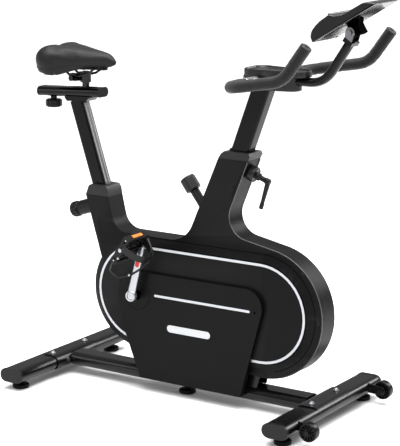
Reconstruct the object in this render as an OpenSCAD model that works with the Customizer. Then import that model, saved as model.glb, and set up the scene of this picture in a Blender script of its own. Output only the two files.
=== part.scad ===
// Exercise bike: floor frame, twin-disc casing, belt drive to a braked flywheel,
// height-adjustable saddle and handlebar, tilting console.
// +X is the front of the bike, +Y its left side, +Z up. The floor is z = 0.
// Side-view figures below are written from a datum near the rear of the bike and
// moved by x_mid, so that the origin sits on the floor under the middle of the box.

/* [Floor frame] */
// Half length of each cross bar, end caps included
bar_half = 275; // [240:5:300]
// Width of the flat-oval tube of cross bars and floor beam
oval_w = 80; // [76:1:84]
// Height of the same tube
oval_h = 40; // [38:1:42]
// Height of the tube's middle above the floor
oval_z = 46; // [44:1:48]
// Side-view place of the front cross bar
front_x = 940; // [930:5:945]
// Side-view place of the rear cross bar
rear_x = 32; // [30:1:40]
// Radius of a levelling foot
foot_r = 25; // [20:1:28]
// Radius of a transport wheel
wheel_r = 27; // [24:1:28]

/* [Drive] */
// Crank length, axle to pedal spindle
crank_len = 170; // [160:1:172]
// Lean of the right crank from vertical, in degrees
crank_lean = 14.5; // [10:0.5:20]
// Radius of the crank pulley
pulley_r = 95; // [85:1:98]
// Radius of the flywheel pulley
small_pulley_r = 20; // [18:1:21]
// Radius of the flywheel
flywheel_r = 168; // [150:1:170]

/* [Casing] */
// Half width of the casing over its flat sides
case_half = 35; // [34:0.5:36]
// Half width over the raised belt guard
guard_half = 47; // [46.5:0.5:48]
// Half width over the lower side panels
panel_half = 60; // [58:0.5:62]
// Radius of the raised belt guard at its base
guard_r = 170; // [168:1:171]
// Radius of the light trim line
trim_r = 142; // [136:1:144]
// Wall thickness of the mouldings
wall = 3; // [2.5:0.5:3.5]

/* [Posts] */
// Backward lean of the seat post, in degrees
seat_lean = 18.1; // [17.5:0.1:18.5]
// Forward lean of the handlebar post, in degrees
bar_lean = 20.4; // [20:0.1:21]
// Seat post section, front to back
seat_d = 46; // [44:1:46]
// Seat post section, side to side
seat_w = 38; // [36:1:38]
// Handlebar post section, front to back
post_d = 56; // [54:1:56]
// Handlebar post section, side to side
post_w = 40; // [38:1:40]

/* [Handlebar] */
// Radius of the handlebar tube
tube_r = 14; // [13:0.5:14]
// Radius over the foam grips
grip_r = 16.5; // [16:0.5:17]
// Half distance between the two grips
grip_y = 240; // [220:5:245]

/* [Hidden] */
$fn = 48;
x_mid = 532.22;
crank_c = [339, 295];
fly_c = [760, 293];
tip_c = [crank_c[0] + crank_len * sin(crank_lean), crank_c[1] + crank_len * cos(crank_lean)];
tip_l = [crank_c[0] - crank_len * sin(crank_lean), crank_c[1] - crank_len * cos(crank_lean)];
seat_o = [183.7, 569];
bar_o = [658.7, 724];
pedal_turn = 35;
brake_o = [533, 577];
brake_turn = 142.5;
rail_tilt = -2.7;

// ---------- helpers ----------
function unit(v) = v / norm(v);
function arc(c, r, a0, a1, n) = [for (i = [0:n]) let (a = a0 + (a1 - a0) * i / n) [c[0] + r * cos(a), c[1] + r * sin(a)]];
// an outline (anticlockwise) moved outwards by d along the mitre of its sides
function grow(p, d) = let (n = len(p)) [for (i = [0:n-1])
  let (a = p[(i+n-1)%n], b = p[i], c = p[(i+1)%n], u = unit(b-a), v = unit(c-b),
       m = unit([u[1]+v[1], -u[0]-v[0]]), k = m * [u[1], -u[0]]) b + m * d / k];
function slot(w, h, n = 12) = concat(
  arc([w/2-h/2, 0], h/2, -90, 90, n), arc([-w/2+h/2, 0], h/2, 90, 270, n));
function slot_at(c, w, h, n = 12) = [for (q = slot(w, h, n)) q + c];
function rrect(a, b, r, n = 5) = concat(
  arc([a/2-r, -b/2+r], r, -90, 0, n), arc([a/2-r, b/2-r], r, 0, 90, n),
  arc([-a/2+r, b/2-r], r, 90, 180, n), arc([-a/2+r, -b/2+r], r, 180, 270, n));
function stadium(c1, c2, r, n = 24) = concat(arc(c2, r, -90, 90, n), arc(c1, r, 90, 270, n));

// everything is drawn in datum x and moved here
module place() { translate([-x_mid, 0, 0]) children(); }
// a side-view (x, z) profile run from y0 to y1
module yext(y0, y1) { translate([0, y1, 0]) rotate([90, 0, 0]) linear_extrude(y1 - y0) children(); }
// a (y, z) profile run from x0 to x1
module xext(x0, x1) { translate([x0, 0, 0]) rotate([90, 0, 90]) linear_extrude(x1 - x0) children(); }
module ycyl(c, y0, y1, r) { translate([c[0], y1, c[1]]) rotate([90, 0, 0]) cylinder(r = r, h = y1 - y0); }
module xcyl(y, z, x0, x1, r) { translate([x0, y, z]) rotate([0, 90, 0]) cylinder(r = r, h = x1 - x0); }
module zcyl(x, y, z0, z1, r, r2 = -1) { translate([x, y, z0]) cylinder(r1 = r, r2 = r2 < 0 ? r : r2, h = z1 - z0); }
// frames that lean with the posts: local x forwards, y left, z up the post
module in_seat() { translate([seat_o[0], 0, seat_o[1]]) rotate([0, -seat_lean, 0]) children(); }
module in_bar() { translate([bar_o[0], 0, bar_o[1]]) rotate([0, bar_lean, 0]) children(); }
// a cylinder along the local x of such a frame, at height w
module ucyl(w, u0, u1, r) { translate([u0, 0, w]) rotate([0, 90, 0]) cylinder(r = r, h = u1 - u0); }
// along the brake rod: local z runs down the rod towards the flywheel
module in_brake() { translate([brake_o[0], 0, brake_o[1]]) rotate([0, brake_turn, 0]) children(); }
module in_rail() { translate([66, 0, 868]) rotate([0, rail_tilt, 0]) children(); }

// tube of round section swept along points, as one closed mesh
function frame_x(t) = abs(t[1]) > 0.9 ? unit(cross(t, [1, 0, 0])) : unit(cross(t, [0, 1, 0]));
function ring_dir(p, i) = unit(i == 0 ? p[1]-p[0] : i == len(p)-1 ? p[i]-p[i-1] : unit(p[i+1]-p[i]) + unit(p[i]-p[i-1]));
module sweep(p, r, n = 20) { oval_sweep(p, r, r, n); }
// the same with half width ry across the side view
module oval_sweep(p, r, ry, n = 28) {
  dirs = [for (i = [0:len(p)-1]) ring_dir(p, i)];
  // carry one cross direction along, so that the rings don't twist
  function carry(i, a) = i >= len(p) ? [] : let (d = dirs[i], b = unit(a - (a*d)*d)) concat([b], carry(i+1, b));
  ax = carry(0, frame_x(dirs[0]));
  pts = [for (i = [0:len(p)-1]) let (a = ax[i], b = cross(dirs[i], a)) for (k = [0:n-1])
    p[i] + r * a * cos(360*k/n) + ry * b * sin(360*k/n)];
  faces = concat([[for (k = [n-1:-1:0]) k]],
    [for (i = [0:len(p)-2]) for (k = [0:n-1]) [i*n+k, i*n+(k+1)%n, (i+1)*n+(k+1)%n, (i+1)*n+k]],
    [[for (k = [0:n-1]) (len(p)-1)*n+k]]);
  polyhedron(points = pts, faces = [for (f = faces) [for (j = [len(f)-1:-1:0]) f[j]]], convexity = 8);
}
// rounded path through corner points: each corner becomes a small curve
function bend(a, b, c, r, n = 5) = let (u = unit(a-b), v = unit(c-b), p0 = b + u*r, p1 = b + v*r)
  [for (i = [0:n]) let (t = i/n) p0*(1-t)*(1-t) + 2*b*t*(1-t) + p1*t*t];

// ---------- outlines in side view ----------
// casing: rear disc, floor side, front disc, handlebar tube, saddle dip, seat tube
casing_line = concat(
  arc(fly_c, 190, -92.7, 79.2, 40),
  arc([708, 561], 63.5, 259.2, 158.2, 16),
  [[704.4, 724], [607, 724]],
  arc([440.3, 553], 85, -23.4, -90, 12),
  arc([290, 523], 55, -90, -166.8, 12),
  [[222.7, 569], [139.4, 569]],
  arc([340, 294], guard_r, 148.5, 267.3, 28));
guard_c1 = [340, 294];
guard_c2 = [756, 294];
panel_line = concat(
  [[349, 41], [699, 41]],
  arc([714, 309], 55, -16, 90, 12),
  arc(crank_c, 69, 90, 196, 16),
  [[289, 192]]);

// raised guard: a cone at each end, joined
module guard_solid(d) {
  hull() for (c = [guard_c1, guard_c2]) {
    ycyl2(c, case_half - 1, case_half, guard_r - d, guard_r - d);
    ycyl2(c, case_half, guard_half - d * 0.8, guard_r - d, guard_r - 23 - d * 0.8);
  }
}
// right-hand side cone from |y| = a to b
module ycyl2(c, a, b, r1, r2) { translate([c[0], -a, c[1]]) rotate([90, 0, 0]) cylinder(r1 = r1, r2 = r2, h = b - a, $fn = 96); }

// room left in the casing for the frame that passes through it
module frame_room() {
  in_seat() translate([0, 0, -560]) linear_extrude(640) polygon(rrect(seat_d + 10, seat_w + 10, 9));
  in_bar() translate([0, 0, -760]) linear_extrude(820) polygon(rrect(post_d + 10, post_w + 10, 9));
  translate([684, -30, 60]) cube([66, 60, 80]);
  in_seat() ucyl(-23, -80, 0, 12.6);
  in_bar() ucyl(-23, 0, 80, 14.6);
  in_brake() translate([0, 0, -40]) cylinder(r = 14, h = 90);
}

module casing_half() {
  difference() {
    union() {
      difference() {
        yext(-case_half, 0) polygon(casing_line);
        yext(-case_half + wall, 1) polygon(grow(casing_line, -wall));
        yext(-case_half - 1, -case_half + wall + 1) polygon(stadium(guard_c1, guard_c2, guard_r - 4));
      }
      difference() {
        guard_solid(0);
        guard_solid(wall);
        yext(-case_half - 0.5, -case_half + 5) polygon(stadium(guard_c1, guard_c2, guard_r - wall));
      }
    }
    frame_room();
    ycyl(crank_c, -60, -20, 30);
    for (q = screw_spots) ycyl(q, -60, -20, 2.1);
  }
}
screw_spots = [[938, 290], [886, 427], [655, 640], [180, 500], [886, 158]];

module panel_half_shell() {
  difference() {
    yext(-panel_half, -41.5) polygon(panel_line);
    yext(-panel_half + 2.5, -30) polygon(grow(panel_line, -2.5));
    guard_solid(0);
    ycyl(crank_c, -70, -30, 46);
  }
}

module floor_beam() { color([0.09, 0.09, 0.1]) place() difference() {
  union() {
    xext(rear_x + 42, front_x - 42) polygon(slot_at([0, oval_z], oval_w, oval_h));
    // saddle plates that wrap the cross bars
    difference() {
      yext(-100, 100) polygon(slot_at([rear_x, oval_z], oval_w + 6.6, oval_h + 6.6));
      translate([rear_x - 60, -120, 0]) cube([49, 240, 100]);
      translate([rear_x - 60, -120, 0]) cube([88, 240, oval_z]);
    }
    difference() {
      yext(-96, 96) polygon(slot_at([front_x, oval_z], oval_w + 6.6, oval_h + 6.6));
      translate([front_x + 32, -120, 0]) cube([60, 240, 100]);
      translate([front_x - 28, -120, 0]) cube([88, 240, oval_z]);
    }
  }
  xext(rear_x + 30, front_x - 30) polygon(slot_at([0, oval_z], oval_w - 4, oval_h - 4));
  for (x = [rear_x, front_x]) yext(-120, 120) polygon(slot_at([x, oval_z], oval_w + 0.4, oval_h + 0.4));
  for (s = [-1, 1]) {
    zcyl(rear_x + 7, s*80, 60, 80, 4.2);
    zcyl(front_x, s*71, 60, 80, 4.2);
    xcyl(s*52, 49, rear_x + 38, rear_x + 60, 3.2);
  }
  zcyl(479, 0, 20, 30, 5.1);
  // slots that the posts' feet and the flywheel stays are welded into
} }

module cross_bar(x) { difference() {
  yext(-bar_half + 10, bar_half - 10) polygon(slot_at([x, oval_z], oval_w, oval_h));
  yext(-bar_half - 10, bar_half + 10) polygon(slot_at([x, oval_z], oval_w - 4, oval_h - 4));
  for (s = [-1, 1]) zcyl(x, s*229, 20, 40, 5.1);
} }
module rear_stabilizer() { color([0.1, 0.1, 0.11]) place() difference() {
  cross_bar(rear_x);
  for (s = [-1, 1]) { zcyl(rear_x + 7, s*80, 55, 80, 4.2); xcyl(s*52, 49, rear_x + 30, rear_x + 60, 3.2); }
} }
module front_stabilizer() { color([0.1, 0.1, 0.11]) place() difference() {
  union() {
    cross_bar(front_x);
    // plates that carry the transport wheels, on the inner side of each wheel
    for (s = [-1, 1]) difference() {
      yext(s > 0 ? 199 : -204, s > 0 ? 204 : -199) polygon(concat([[front_x + 25, 34]], arc([1016, 44.7], 13, -70, 75, 8), [[front_x + 25, 62]]));
      yext(-bar_half - 10, bar_half + 10) polygon(slot_at([front_x, oval_z], oval_w - 2, oval_h - 2));
    }
  }
  for (s = [-1, 1]) zcyl(front_x, s*71, 55, 80, 4.2);
  ycyl([1016, 44.7], -215, -190, 4);
  ycyl([1016, 44.7], 190, 215, 4);
} }
module stabilizer_end_caps() { color([0.3, 0.3, 0.31]) place() for (x = [rear_x, front_x]) for (s = [-1, 1]) {
  yext(s > 0 ? bar_half - 10 : -bar_half, s > 0 ? bar_half : 10 - bar_half) polygon(slot_at([x, oval_z], oval_w + 1.6, oval_h + 1.6));
  yext(s > 0 ? bar_half - 30 : 10 - bar_half, s > 0 ? bar_half - 10 : 30 - bar_half) polygon(slot_at([x, oval_z], oval_w - 4, oval_h - 4));
} }
module fasteners() { color([0.55, 0.56, 0.58]) place() {
  for (s = [-1, 1]) {
    zcyl(rear_x + 7, s*80, 52, 69.3, 4.1); zcyl(rear_x + 7, s*80, 69.3, 71, 9); zcyl(rear_x + 7, s*80, 71, 75.5, 7, 5);
    zcyl(front_x, s*71, 52, 69.3, 4.1); zcyl(front_x, s*71, 69.3, 71, 9); zcyl(front_x, s*71, 71, 75.5, 7, 5);
    xcyl(s*52, 49, rear_x + 34, rear_x + 43.3, 3.1); xcyl(s*52, 49, rear_x + 43.3, rear_x + 47, 6);
    // wheel axles: shoulder bolts through the plates
    ycyl([1016, 44.7], s > 0 ? 196 : -231, s > 0 ? 231 : -196, 3.95);
    ycyl([1016, 44.7], s > 0 ? 231 : -235, s > 0 ? 235 : -231, 6.5);
    ycyl([1016, 44.7], s > 0 ? 192 : -199, s > 0 ? 199 : -192, 6.5);
    for (q = screw_spots) { ycyl(q, s > 0 ? 25 : -36.2, s > 0 ? 36.2 : -25, 2); ycyl(q, s > 0 ? case_half : -case_half-1.6, s > 0 ? case_half+1.6 : -case_half, 4.5); }
  }
} }

module foot(x, y) { place() {
  zcyl(x, y, 0, 3, foot_r - 2, foot_r);
  zcyl(x, y, 3, 10, foot_r);
  zcyl(x, y, 10, 14, foot_r - 1, 14);
  zcyl(x, y, 14, 20, 9);
  zcyl(x, y, 20, 56, 5);
} }
module foot_front_right() { color([0.05, 0.05, 0.05]) foot(front_x, -229); }
module foot_front_left() { color([0.05, 0.05, 0.05]) foot(front_x, 229); }
module foot_rear_right() { color([0.05, 0.05, 0.05]) foot(rear_x, -229); }
module foot_rear_left() { color([0.05, 0.05, 0.05]) foot(rear_x, 229); }
module foot_middle() { color([0.05, 0.05, 0.05]) foot(479, 0); }

module transport_wheel(s) { place() translate([1016, s*217.5, 44.7]) rotate([90, 0, 0]) difference() {
  union() {
    difference() {
      translate([0, 0, -12]) cylinder(r = wheel_r, h = 24);
      for (z = [-13, 5]) translate([0, 0, z]) difference() { cylinder(r = wheel_r - 5, h = 8); cylinder(r = 9, h = 8); }
    }
    for (i = [0:11]) rotate([0, 0, i*30]) translate([8, -1.5, -11]) cube([wheel_r - 12, 3, 22]);
  }
  translate([0, 0, -20]) cylinder(r = 4.02, h = 40);
} }
module transport_wheel_right() { color([0.08, 0.08, 0.08]) transport_wheel(-1); }
module transport_wheel_left() { color([0.08, 0.08, 0.08]) transport_wheel(1); }

module seat_tube() { color([0.12, 0.12, 0.13]) place() difference() {
  union() {
    in_seat() translate([0, 0, -560]) linear_extrude(582) polygon(rrect(seat_d + 8, seat_w + 8, 8));
    translate([292, -18, 279]) cube([32, 36, 32]);
    ycyl(crank_c, -24, 24, 24);
  }
  in_seat() translate([0, 0, -600]) linear_extrude(700) polygon(rrect(seat_d + 4, seat_w + 4, 6));
  ycyl(crank_c, -40, 40, 17.5);
  translate([200, -50, 0]) cube([300, 100, 66]);
  in_seat() ucyl(-23, -60, 0, 5.2);
} }
module handlebar_tube() { color([0.12, 0.12, 0.13]) place() difference() {
  union() {
    in_bar() translate([0, 0, -740]) linear_extrude(756) polygon(rrect(post_d + 8, post_w + 8, 8));
    // twin stays that hold the flywheel's bearings
    for (s = [-1, 1]) {
      yext(s > 0 ? post_w/2 + 3.5 : -post_w/2 - 8, s > 0 ? post_w/2 + 8 : -post_w/2 - 3.5)
        polygon([[690, 66], [735, 66], [786, 280], [786, 308], [742, 316], [575, 455], [530, 420], [545, 385], [716, 250]]);
      ycyl(fly_c, s > 0 ? 21 : -32, s > 0 ? 32 : -21, 21.5);
    }
  }
  in_bar() translate([0, 0, -800]) linear_extrude(900) polygon(rrect(post_d + 4, post_w + 4, 6));
  ycyl(fly_c, -40, 40, 17.5);
  translate([350, -50, 0]) cube([450, 100, 66]);
  in_bar() ucyl(-23, 0, 60, 6.6);
  in_brake() translate([0, 0, 20]) cylinder(r = 7, h = 120);
} }
module post_liners() { color([0.2, 0.2, 0.2]) place() {
  in_seat() difference() {
    union() {
      translate([0, 0, -60]) linear_extrude(82) polygon(rrect(seat_d + 4, seat_w + 4, 6));
      translate([0, 0, 22]) linear_extrude(3) polygon(rrect(seat_d + 8, seat_w + 8, 8));
    }
    translate([0, 0, -70]) linear_extrude(120) polygon(rrect(seat_d + 0.6, seat_w + 0.6, 6));
    ucyl(-23, -60, 0, 5.5);
  }
  in_bar() difference() {
    union() {
      translate([0, 0, -60]) linear_extrude(76) polygon(rrect(post_d + 4, post_w + 4, 6));
      translate([0, 0, 16]) linear_extrude(3) polygon(rrect(post_d + 8, post_w + 8, 8));
    }
    translate([0, 0, -70]) linear_extrude(120) polygon(rrect(post_d + 0.6, post_w + 0.6, 6));
    ucyl(-23, 0, 60, 6.6);
  }
} }
module bearing(c, y0, y1, r) { difference() { ycyl(c, y0, y1, 17.5); ycyl(c, y0 - 1, y1 + 1, r); } }
module shaft_bearings() { color([0.7, 0.71, 0.73]) place() {
  bearing(crank_c, -24, -13, 8.55); bearing(crank_c, 13, 24, 8.55);
  bearing(fly_c, -32, -22, 7.55); bearing(fly_c, 22, 32, 7.55);
} }

module casing_right() { color([0.13, 0.13, 0.14]) place() casing_half(); }
module casing_left() { color([0.13, 0.13, 0.14]) place() mirror([0, 1, 0]) casing_half(); }
module lower_panel_right() { color([0.14, 0.14, 0.15]) place() panel_half_shell(); }
module lower_panel_left() { color([0.14, 0.14, 0.15]) place() mirror([0, 1, 0]) panel_half_shell(); }
module trim_side() {
  difference() {
    yext(-guard_half - 0.8, -guard_half) polygon(stadium(guard_c1, guard_c2, trim_r + 3.8));
    yext(-guard_half - 2, -guard_half + 1) polygon(stadium(guard_c1, guard_c2, trim_r - 3.8));
    yext(-guard_half - 3, -guard_half + 2) polygon(grow(panel_line, 0.5));
  }
  yext(-panel_half - 0.8, -panel_half) polygon(slot_at([566, 299], 328, 7.6, 8));
}
module trim_stripes() { color([0.85, 0.86, 0.87]) place() { trim_side(); mirror([0, 1, 0]) trim_side(); } }
module crank_disc() { difference() {
  union() { ycyl(crank_c, -panel_half - 0.6, -panel_half + 2.5, 45.6); ycyl(crank_c, -panel_half + 2.5, -panel_half + 4.5, 50); }
  ycyl(crank_c, -80, -30, 17);
} }
module crank_discs() { color([0.16, 0.16, 0.17]) place() { crank_disc(); mirror([0, 1, 0]) crank_disc(); } }

module post_collars() { color([0.3, 0.3, 0.31]) place() {
  difference() {
    yext(-case_half, case_half) polygon([[139.4, 569.3], [222.7, 569.3], [219.5, 589], [213, 599.5], [160, 601.5], [150, 596]]);
    in_seat() translate([0, 0, -20]) linear_extrude(45) polygon(rrect(seat_d + 8.6, seat_w + 8.6, 8));
    in_seat() translate([0, 0, -20]) linear_extrude(80) polygon(rrect(seat_d + 2, seat_w + 2, 7));
  }
  difference() {
    yext(-case_half, case_half) polygon([[607, 724.3], [704.4, 724.3], [711.5, 737], [707, 745.5], [626, 745.5], [616, 738]]);
    in_bar() translate([0, 0, -20]) linear_extrude(39) polygon(rrect(post_d + 8.6, post_w + 8.6, 8));
    in_bar() translate([0, 0, -20]) linear_extrude(80) polygon(rrect(post_d + 2, post_w + 2, 7));
  }
} }

// belt line round both pulleys
function belt_line(g) = let (r1 = pulley_r + g, r2 = small_pulley_r + g, d = norm(fly_c - crank_c), b = acos((r1 - r2) / d))
  concat(arc(fly_c, r2, -b, b, 14), arc(crank_c, r1, b, 360 - b, 40));
module drive_belt() { color([0.04, 0.04, 0.04]) place() difference() {
  yext(-43, -34.5) polygon(belt_line(3.8));
  yext(-50, -30) polygon(belt_line(0.4));
} }

module knob_sleeves() { color([0.1, 0.1, 0.1]) place() {
  difference() {
    in_seat() { ucyl(-23, -100, -44.5, 22); ucyl(-23, -44.5, -seat_d/2 - 4, 12); }
    in_seat() ucyl(-23, -110, 0, 5.3);
  }
  difference() {
    in_brake() translate([0, 0, -46]) cylinder(r = 13.5, h = 92);
    in_brake() translate([0, 0, -60]) cylinder(r = 6.1, h = 140);
    in_bar() translate([0, 0, -740]) linear_extrude(756) polygon(rrect(post_d + 8, post_w + 8, 8));
  }
} }
module clamp_boss() { color([0.14, 0.14, 0.15]) place() in_bar() difference() {
  union() { ucyl(-23, 43.5, 66, 23); ucyl(-23, post_d/2 + 4, 43.5, 14); }
  ucyl(-23, 20, 90, 6.1);
} }

module crank_axle() { color([0.6, 0.6, 0.62]) place() ycyl(crank_c, -84, 84, 8.5); }
module crank_pulley() { color([0.15, 0.15, 0.16]) place() difference() {
  union() { ycyl(crank_c, -43, -34, pulley_r); ycyl(crank_c, -44, -27, 25); }
  ycyl(crank_c, -50, -20, 8.5);
  for (i = [0:5]) ycyl([crank_c[0] + 60*cos(i*60), crank_c[1] + 60*sin(i*60)], -50, -20, 20);
} }
module crank_arm(tip) {
  u = unit(tip - crank_c); v = [-u[1], u[0]];
  difference() {
    union() {
      ycyl(crank_c, -95, -79, 17);
      ycyl(tip, -95, -82, 13.5);
      yext(-93, -81) polygon([crank_c - v*15.5, crank_c + v*15.5, tip + v*11.5, tip - v*11.5]);
    }
    ycyl(crank_c, -84, -70, 8.5);
    ycyl(crank_c, -100, -91, 10.5);
    ycyl(tip, -100, -70, 6);
  }
}
module crank_arm_right() { color([0.78, 0.79, 0.8]) place() crank_arm(tip_c); }
module crank_arm_left() { color([0.78, 0.79, 0.8]) place() mirror([0, 1, 0]) crank_arm(tip_l); }
module pedal_spindles() { color([0.6, 0.61, 0.63]) place() for (s = [-1, 1]) {
  c = s < 0 ? tip_c : tip_l;
  ycyl(c, s < 0 ? -198 : 83, s < 0 ? -83 : 198, 6);
  ycyl(c, s < 0 ? -99 : 95, s < 0 ? -95 : 99, 9.5);
} }
// pedal in its own frame: x fore and aft, z out of the sole side
module pedal_body() { difference() {
  union() {
    // barrel on the spindle
    translate([0, -102, 0]) rotate([90, 0, 0]) cylinder(r = 12.5, h = 100);
    // inner and outer side walls
    for (y = [-108, -202]) translate([-46, y, -11]) cube([92, 6, 22]);
    // front and rear bars
    for (x = [-46, 38]) translate([x, -202, -11]) cube([8, 100, 22]);
    // cross webs
    for (x = [-27, 19]) translate([x, -202, -8]) cube([8, 100, 16]);
    translate([-40, -158, -8]) cube([80, 6, 16]);
    // reflectors let into the front and rear bars
    for (x = [-48.5, 45.9]) translate([x, -176, -6]) cube([2.6, 50, 12]);
  }
  translate([0, -90, 0]) rotate([90, 0, 0]) cylinder(r = 6.06, h = 109);
} }
// strap arched over the sole side
module pedal_strap() { translate([14, -152, -11]) rotate([90, 0, 90]) translate([0, 0, -11]) linear_extrude(22)
  polygon(concat([for (i = [0:18]) let (a = 180 + i*10) [54*cos(a), 60*sin(a) - 0.4]], [for (i = [0:18]) let (a = 360 - i*10) [51*cos(a), 57*sin(a) - 0.4]])); }
module on_pedal(c) { translate([c[0], 0, c[1]]) rotate([0, pedal_turn - 90, 0]) children(); }
module pedal_right() { color([0.07, 0.07, 0.07]) place() on_pedal(tip_c) pedal_body(); }
module pedal_strap_right() { color([0.05, 0.05, 0.05]) place() on_pedal(tip_c) pedal_strap(); }
module pedal_left() { color([0.07, 0.07, 0.07]) place() mirror([0, 1, 0]) on_pedal(tip_l) pedal_body(); }
module pedal_strap_left() { color([0.05, 0.05, 0.05]) place() mirror([0, 1, 0]) on_pedal(tip_l) pedal_strap(); }

module flywheel() { color([0.5, 0.51, 0.53]) place() translate([fly_c[0], 0, fly_c[1]]) rotate([90, 0, 0]) rotate_extrude($fn = 96)
  polygon([[7.5, -19], [26, -19], [28, -5], [132, -5], [136, -11], [flywheel_r, -11], [flywheel_r, 11], [136, 11], [132, 5], [28, 5], [26, 19], [7.5, 19]]); }
module flywheel_axle() { color([0.6, 0.6, 0.62]) place() {
  ycyl(fly_c, -44, 34, 7.5);
  difference() { ycyl(fly_c, -43.5, -33.8, small_pulley_r); ycyl(fly_c, -50, -30, 7.5); }
} }
module brake_rod() { color([0.65, 0.66, 0.68]) place() in_brake() translate([0, 0, -70]) cylinder(r = 6, h = 236); }
module resistance_knob() { color([0.2, 0.2, 0.2]) place() in_brake() difference() {
  union() {
    translate([0, 0, -92]) cylinder(r1 = 20.5, r2 = 23, h = 3);
    translate([0, 0, -89]) cylinder(r = 23, h = 40);
  }
  translate([0, 0, -71]) cylinder(r = 6.06, h = 40);
  translate([0, 0, -58]) cylinder(r = 15, h = 20);
} }
module brake_carriage() { color([0.35, 0.36, 0.38]) place() in_brake() difference() {
  union() {
    translate([-25, -19, 172]) cube([50, 38, 5]);
    for (y = [-19, 16]) translate([-25, y, 172]) cube([50, 3, 42]);
    for (y = [-16, 12.6]) for (x = [-22, -2, 18]) translate([x - 2, y, 186]) cube([14, 3.4, 26]);
    translate([0, 0, 150]) cylinder(r = 11, h = 24);
  }
  translate([0, 0, 140]) cylinder(r = 6.06, h = 29);
} }

module seat_post() { color([0.06, 0.06, 0.06]) place() {
  difference() {
    union() {
      in_seat() translate([0, 0, -150]) linear_extrude(441) polygon(rrect(seat_d, seat_w, 6));
      yext(-25, 25) polygon([[58, 851.5], [66, 842], [136, 845], [146, 855], [146, 860], [58, 856]]);
    }
    in_seat() translate([0, 0, -160]) linear_extrude(446) polygon(rrect(seat_d - 4, seat_w - 4, 4));
    for (k = [-4:6]) in_seat() ucyl(-23 + k*25, -40, 0, 5.6);
    in_rail() xext(-150, 150) polygon(slot(55, 28));
  }
} }
module seat_pin() { color([0.65, 0.66, 0.68]) place() in_seat() ucyl(-23, -122, -seat_d/2 - 0.6, 5); }
module seat_pin_knob() { color([0.08, 0.08, 0.08]) place() in_seat() difference() {
  union() {
    ucyl(-23, -132, -103, 21);
    for (i = [0:13]) translate([-129, 0, -23]) rotate([i*360/14, 0, 0]) translate([1, -3.2, 15]) cube([24, 6.4, 9]);
  }
  ucyl(-23, -123, -100, 5.04);
} }
module seat_rail() { color([0.06, 0.06, 0.06]) place() in_rail() {
  difference() {
    xext(-107, 112) polygon(slot(55, 28));
    xext(-140, 140) polygon(slot(50, 23));
    // slots for the saddle stem above and the clamp bolt below
    translate([10, -12, 0]) cube([86, 24, 30]);
    translate([-105, -6, -30]) cube([74, 12, 30]);
  }
  for (s = [-1, 1]) { xext(s > 0 ? 112 : -111, s > 0 ? 115 : -107) polygon(slot(56, 29)); xext(s > 0 ? 104 : -107, s > 0 ? 112 : -99) polygon(slot(50, 23)); }
} }
module saddle_carriage() { color([0.55, 0.56, 0.58]) place() difference() {
  union() {
    in_rail() xext(-76, 82) polygon(slot(49.2, 22.2));
    zcyl(119, 0, 869, 932, 10.5);
    // collar and lug of the seat clamp
    zcyl(119, 0, 900, 924, 16);
    yext(-11, 11) polygon([[119, 903], [84, 903], [78, 909], [78, 917], [84, 922], [119, 922]]);
  }
  zcyl(-2, 0, 840, 872, 4.06);
  ycyl([90, 912], -20, 20, 5.06);
} }
module carriage_knob() { color([0.09, 0.09, 0.09]) place() {
  zcyl(-2, 0, 816, 819, 20.5, 23.5);
  zcyl(-2, 0, 819, 838, 23.5);
  for (i = [0:9]) translate([-2, 0, 821]) rotate([0, 0, i*36]) translate([17, -3, 0]) cube([8, 6, 15]);
  zcyl(-2, 0, 838, 840, 23.5, 21);
  zcyl(-2, 0, 840, 850.1, 9.5);
  zcyl(-2, 0, 850.1, 867, 4);
} }
rail_path = [[40, 944], [56, 936], [74, 921], [112, 919.5], [140, 926], [156, 936], [166, 944]];
module saddle_rails() { color([0.08, 0.08, 0.08]) place() {
  for (s = [-1, 1]) difference() {
    sweep([for (q = rail_path) [q[0], s*22, q[1]]], 3.5, 14);
    yext(-30, 30) polygon([[80, 905], [102, 905], [102, 925.5], [80, 925.5]]);
  }
  // cheeks either side of the lug, and the pivot bolt
  for (s = [-1, 1]) difference() {
    yext(s > 0 ? 11.4 : -28, s > 0 ? 28 : -11.4) polygon([[78, 904], [102, 904], [104, 910], [102, 925.5], [78, 925.5], [76, 910]]);
    ycyl([90, 912], -40, 40, 5);
    zcyl(119, 0, 890, 940, 16.5);
  }
  ycyl([90, 912], -33, 33, 5);
  ycyl([90, 912], -36, -33, 8);
  ycyl([90, 912], 33, 36, 8);
} }
module saddle_base() { color([0.07, 0.07, 0.07]) place() difference() {
  translate([0, 0, 940]) linear_extrude(7) polygon(saddle_plan);
  for (s = [-1, 1]) sweep([for (q = rail_path) [q[0], s*22, q[1]]], 3.8, 14);
} }
saddle_plan = concat([[150, -20]], arc([184, 0], 13, -60, 60, 6), [[150, 20]], arc([18, 38], 42, 40, 150, 8), arc([18, -38], 42, 210, 320, 8));
module blob(c, s) { translate(c) scale(s) sphere(r = 1, $fn = 32); }
module saddle_cushion() { color([0.28, 0.28, 0.29]) place() difference() {
  union() {
    hull() for (s = [-1, 1]) { blob([30, s*51, 965], [50, 49, 43]); blob([26, s*49, 939], [43, 43, 31]); }
    hull() { for (s = [-1, 1]) { blob([32, s*50, 966], [48, 48, 41]); blob([66, s*38, 964], [34, 34, 39.5]); } blob([120, 0, 966], [42, 46, 32]); blob([165, 0, 967], [32, 31, 30.5]); blob([196, 0, 968], [28, 23, 24]); blob([221, 0, 963.5], [14.5, 12, 13]); }
  }
  // room for the shell and the saddle rails
  translate([0, 0, 880]) linear_extrude(67.4) polygon(grow(saddle_plan, 0.6));
  translate([60, -70, 880]) cube([200, 140, 60]);
  translate([30, -34, 880]) cube([146, 68, 67.4]);
} }

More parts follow.
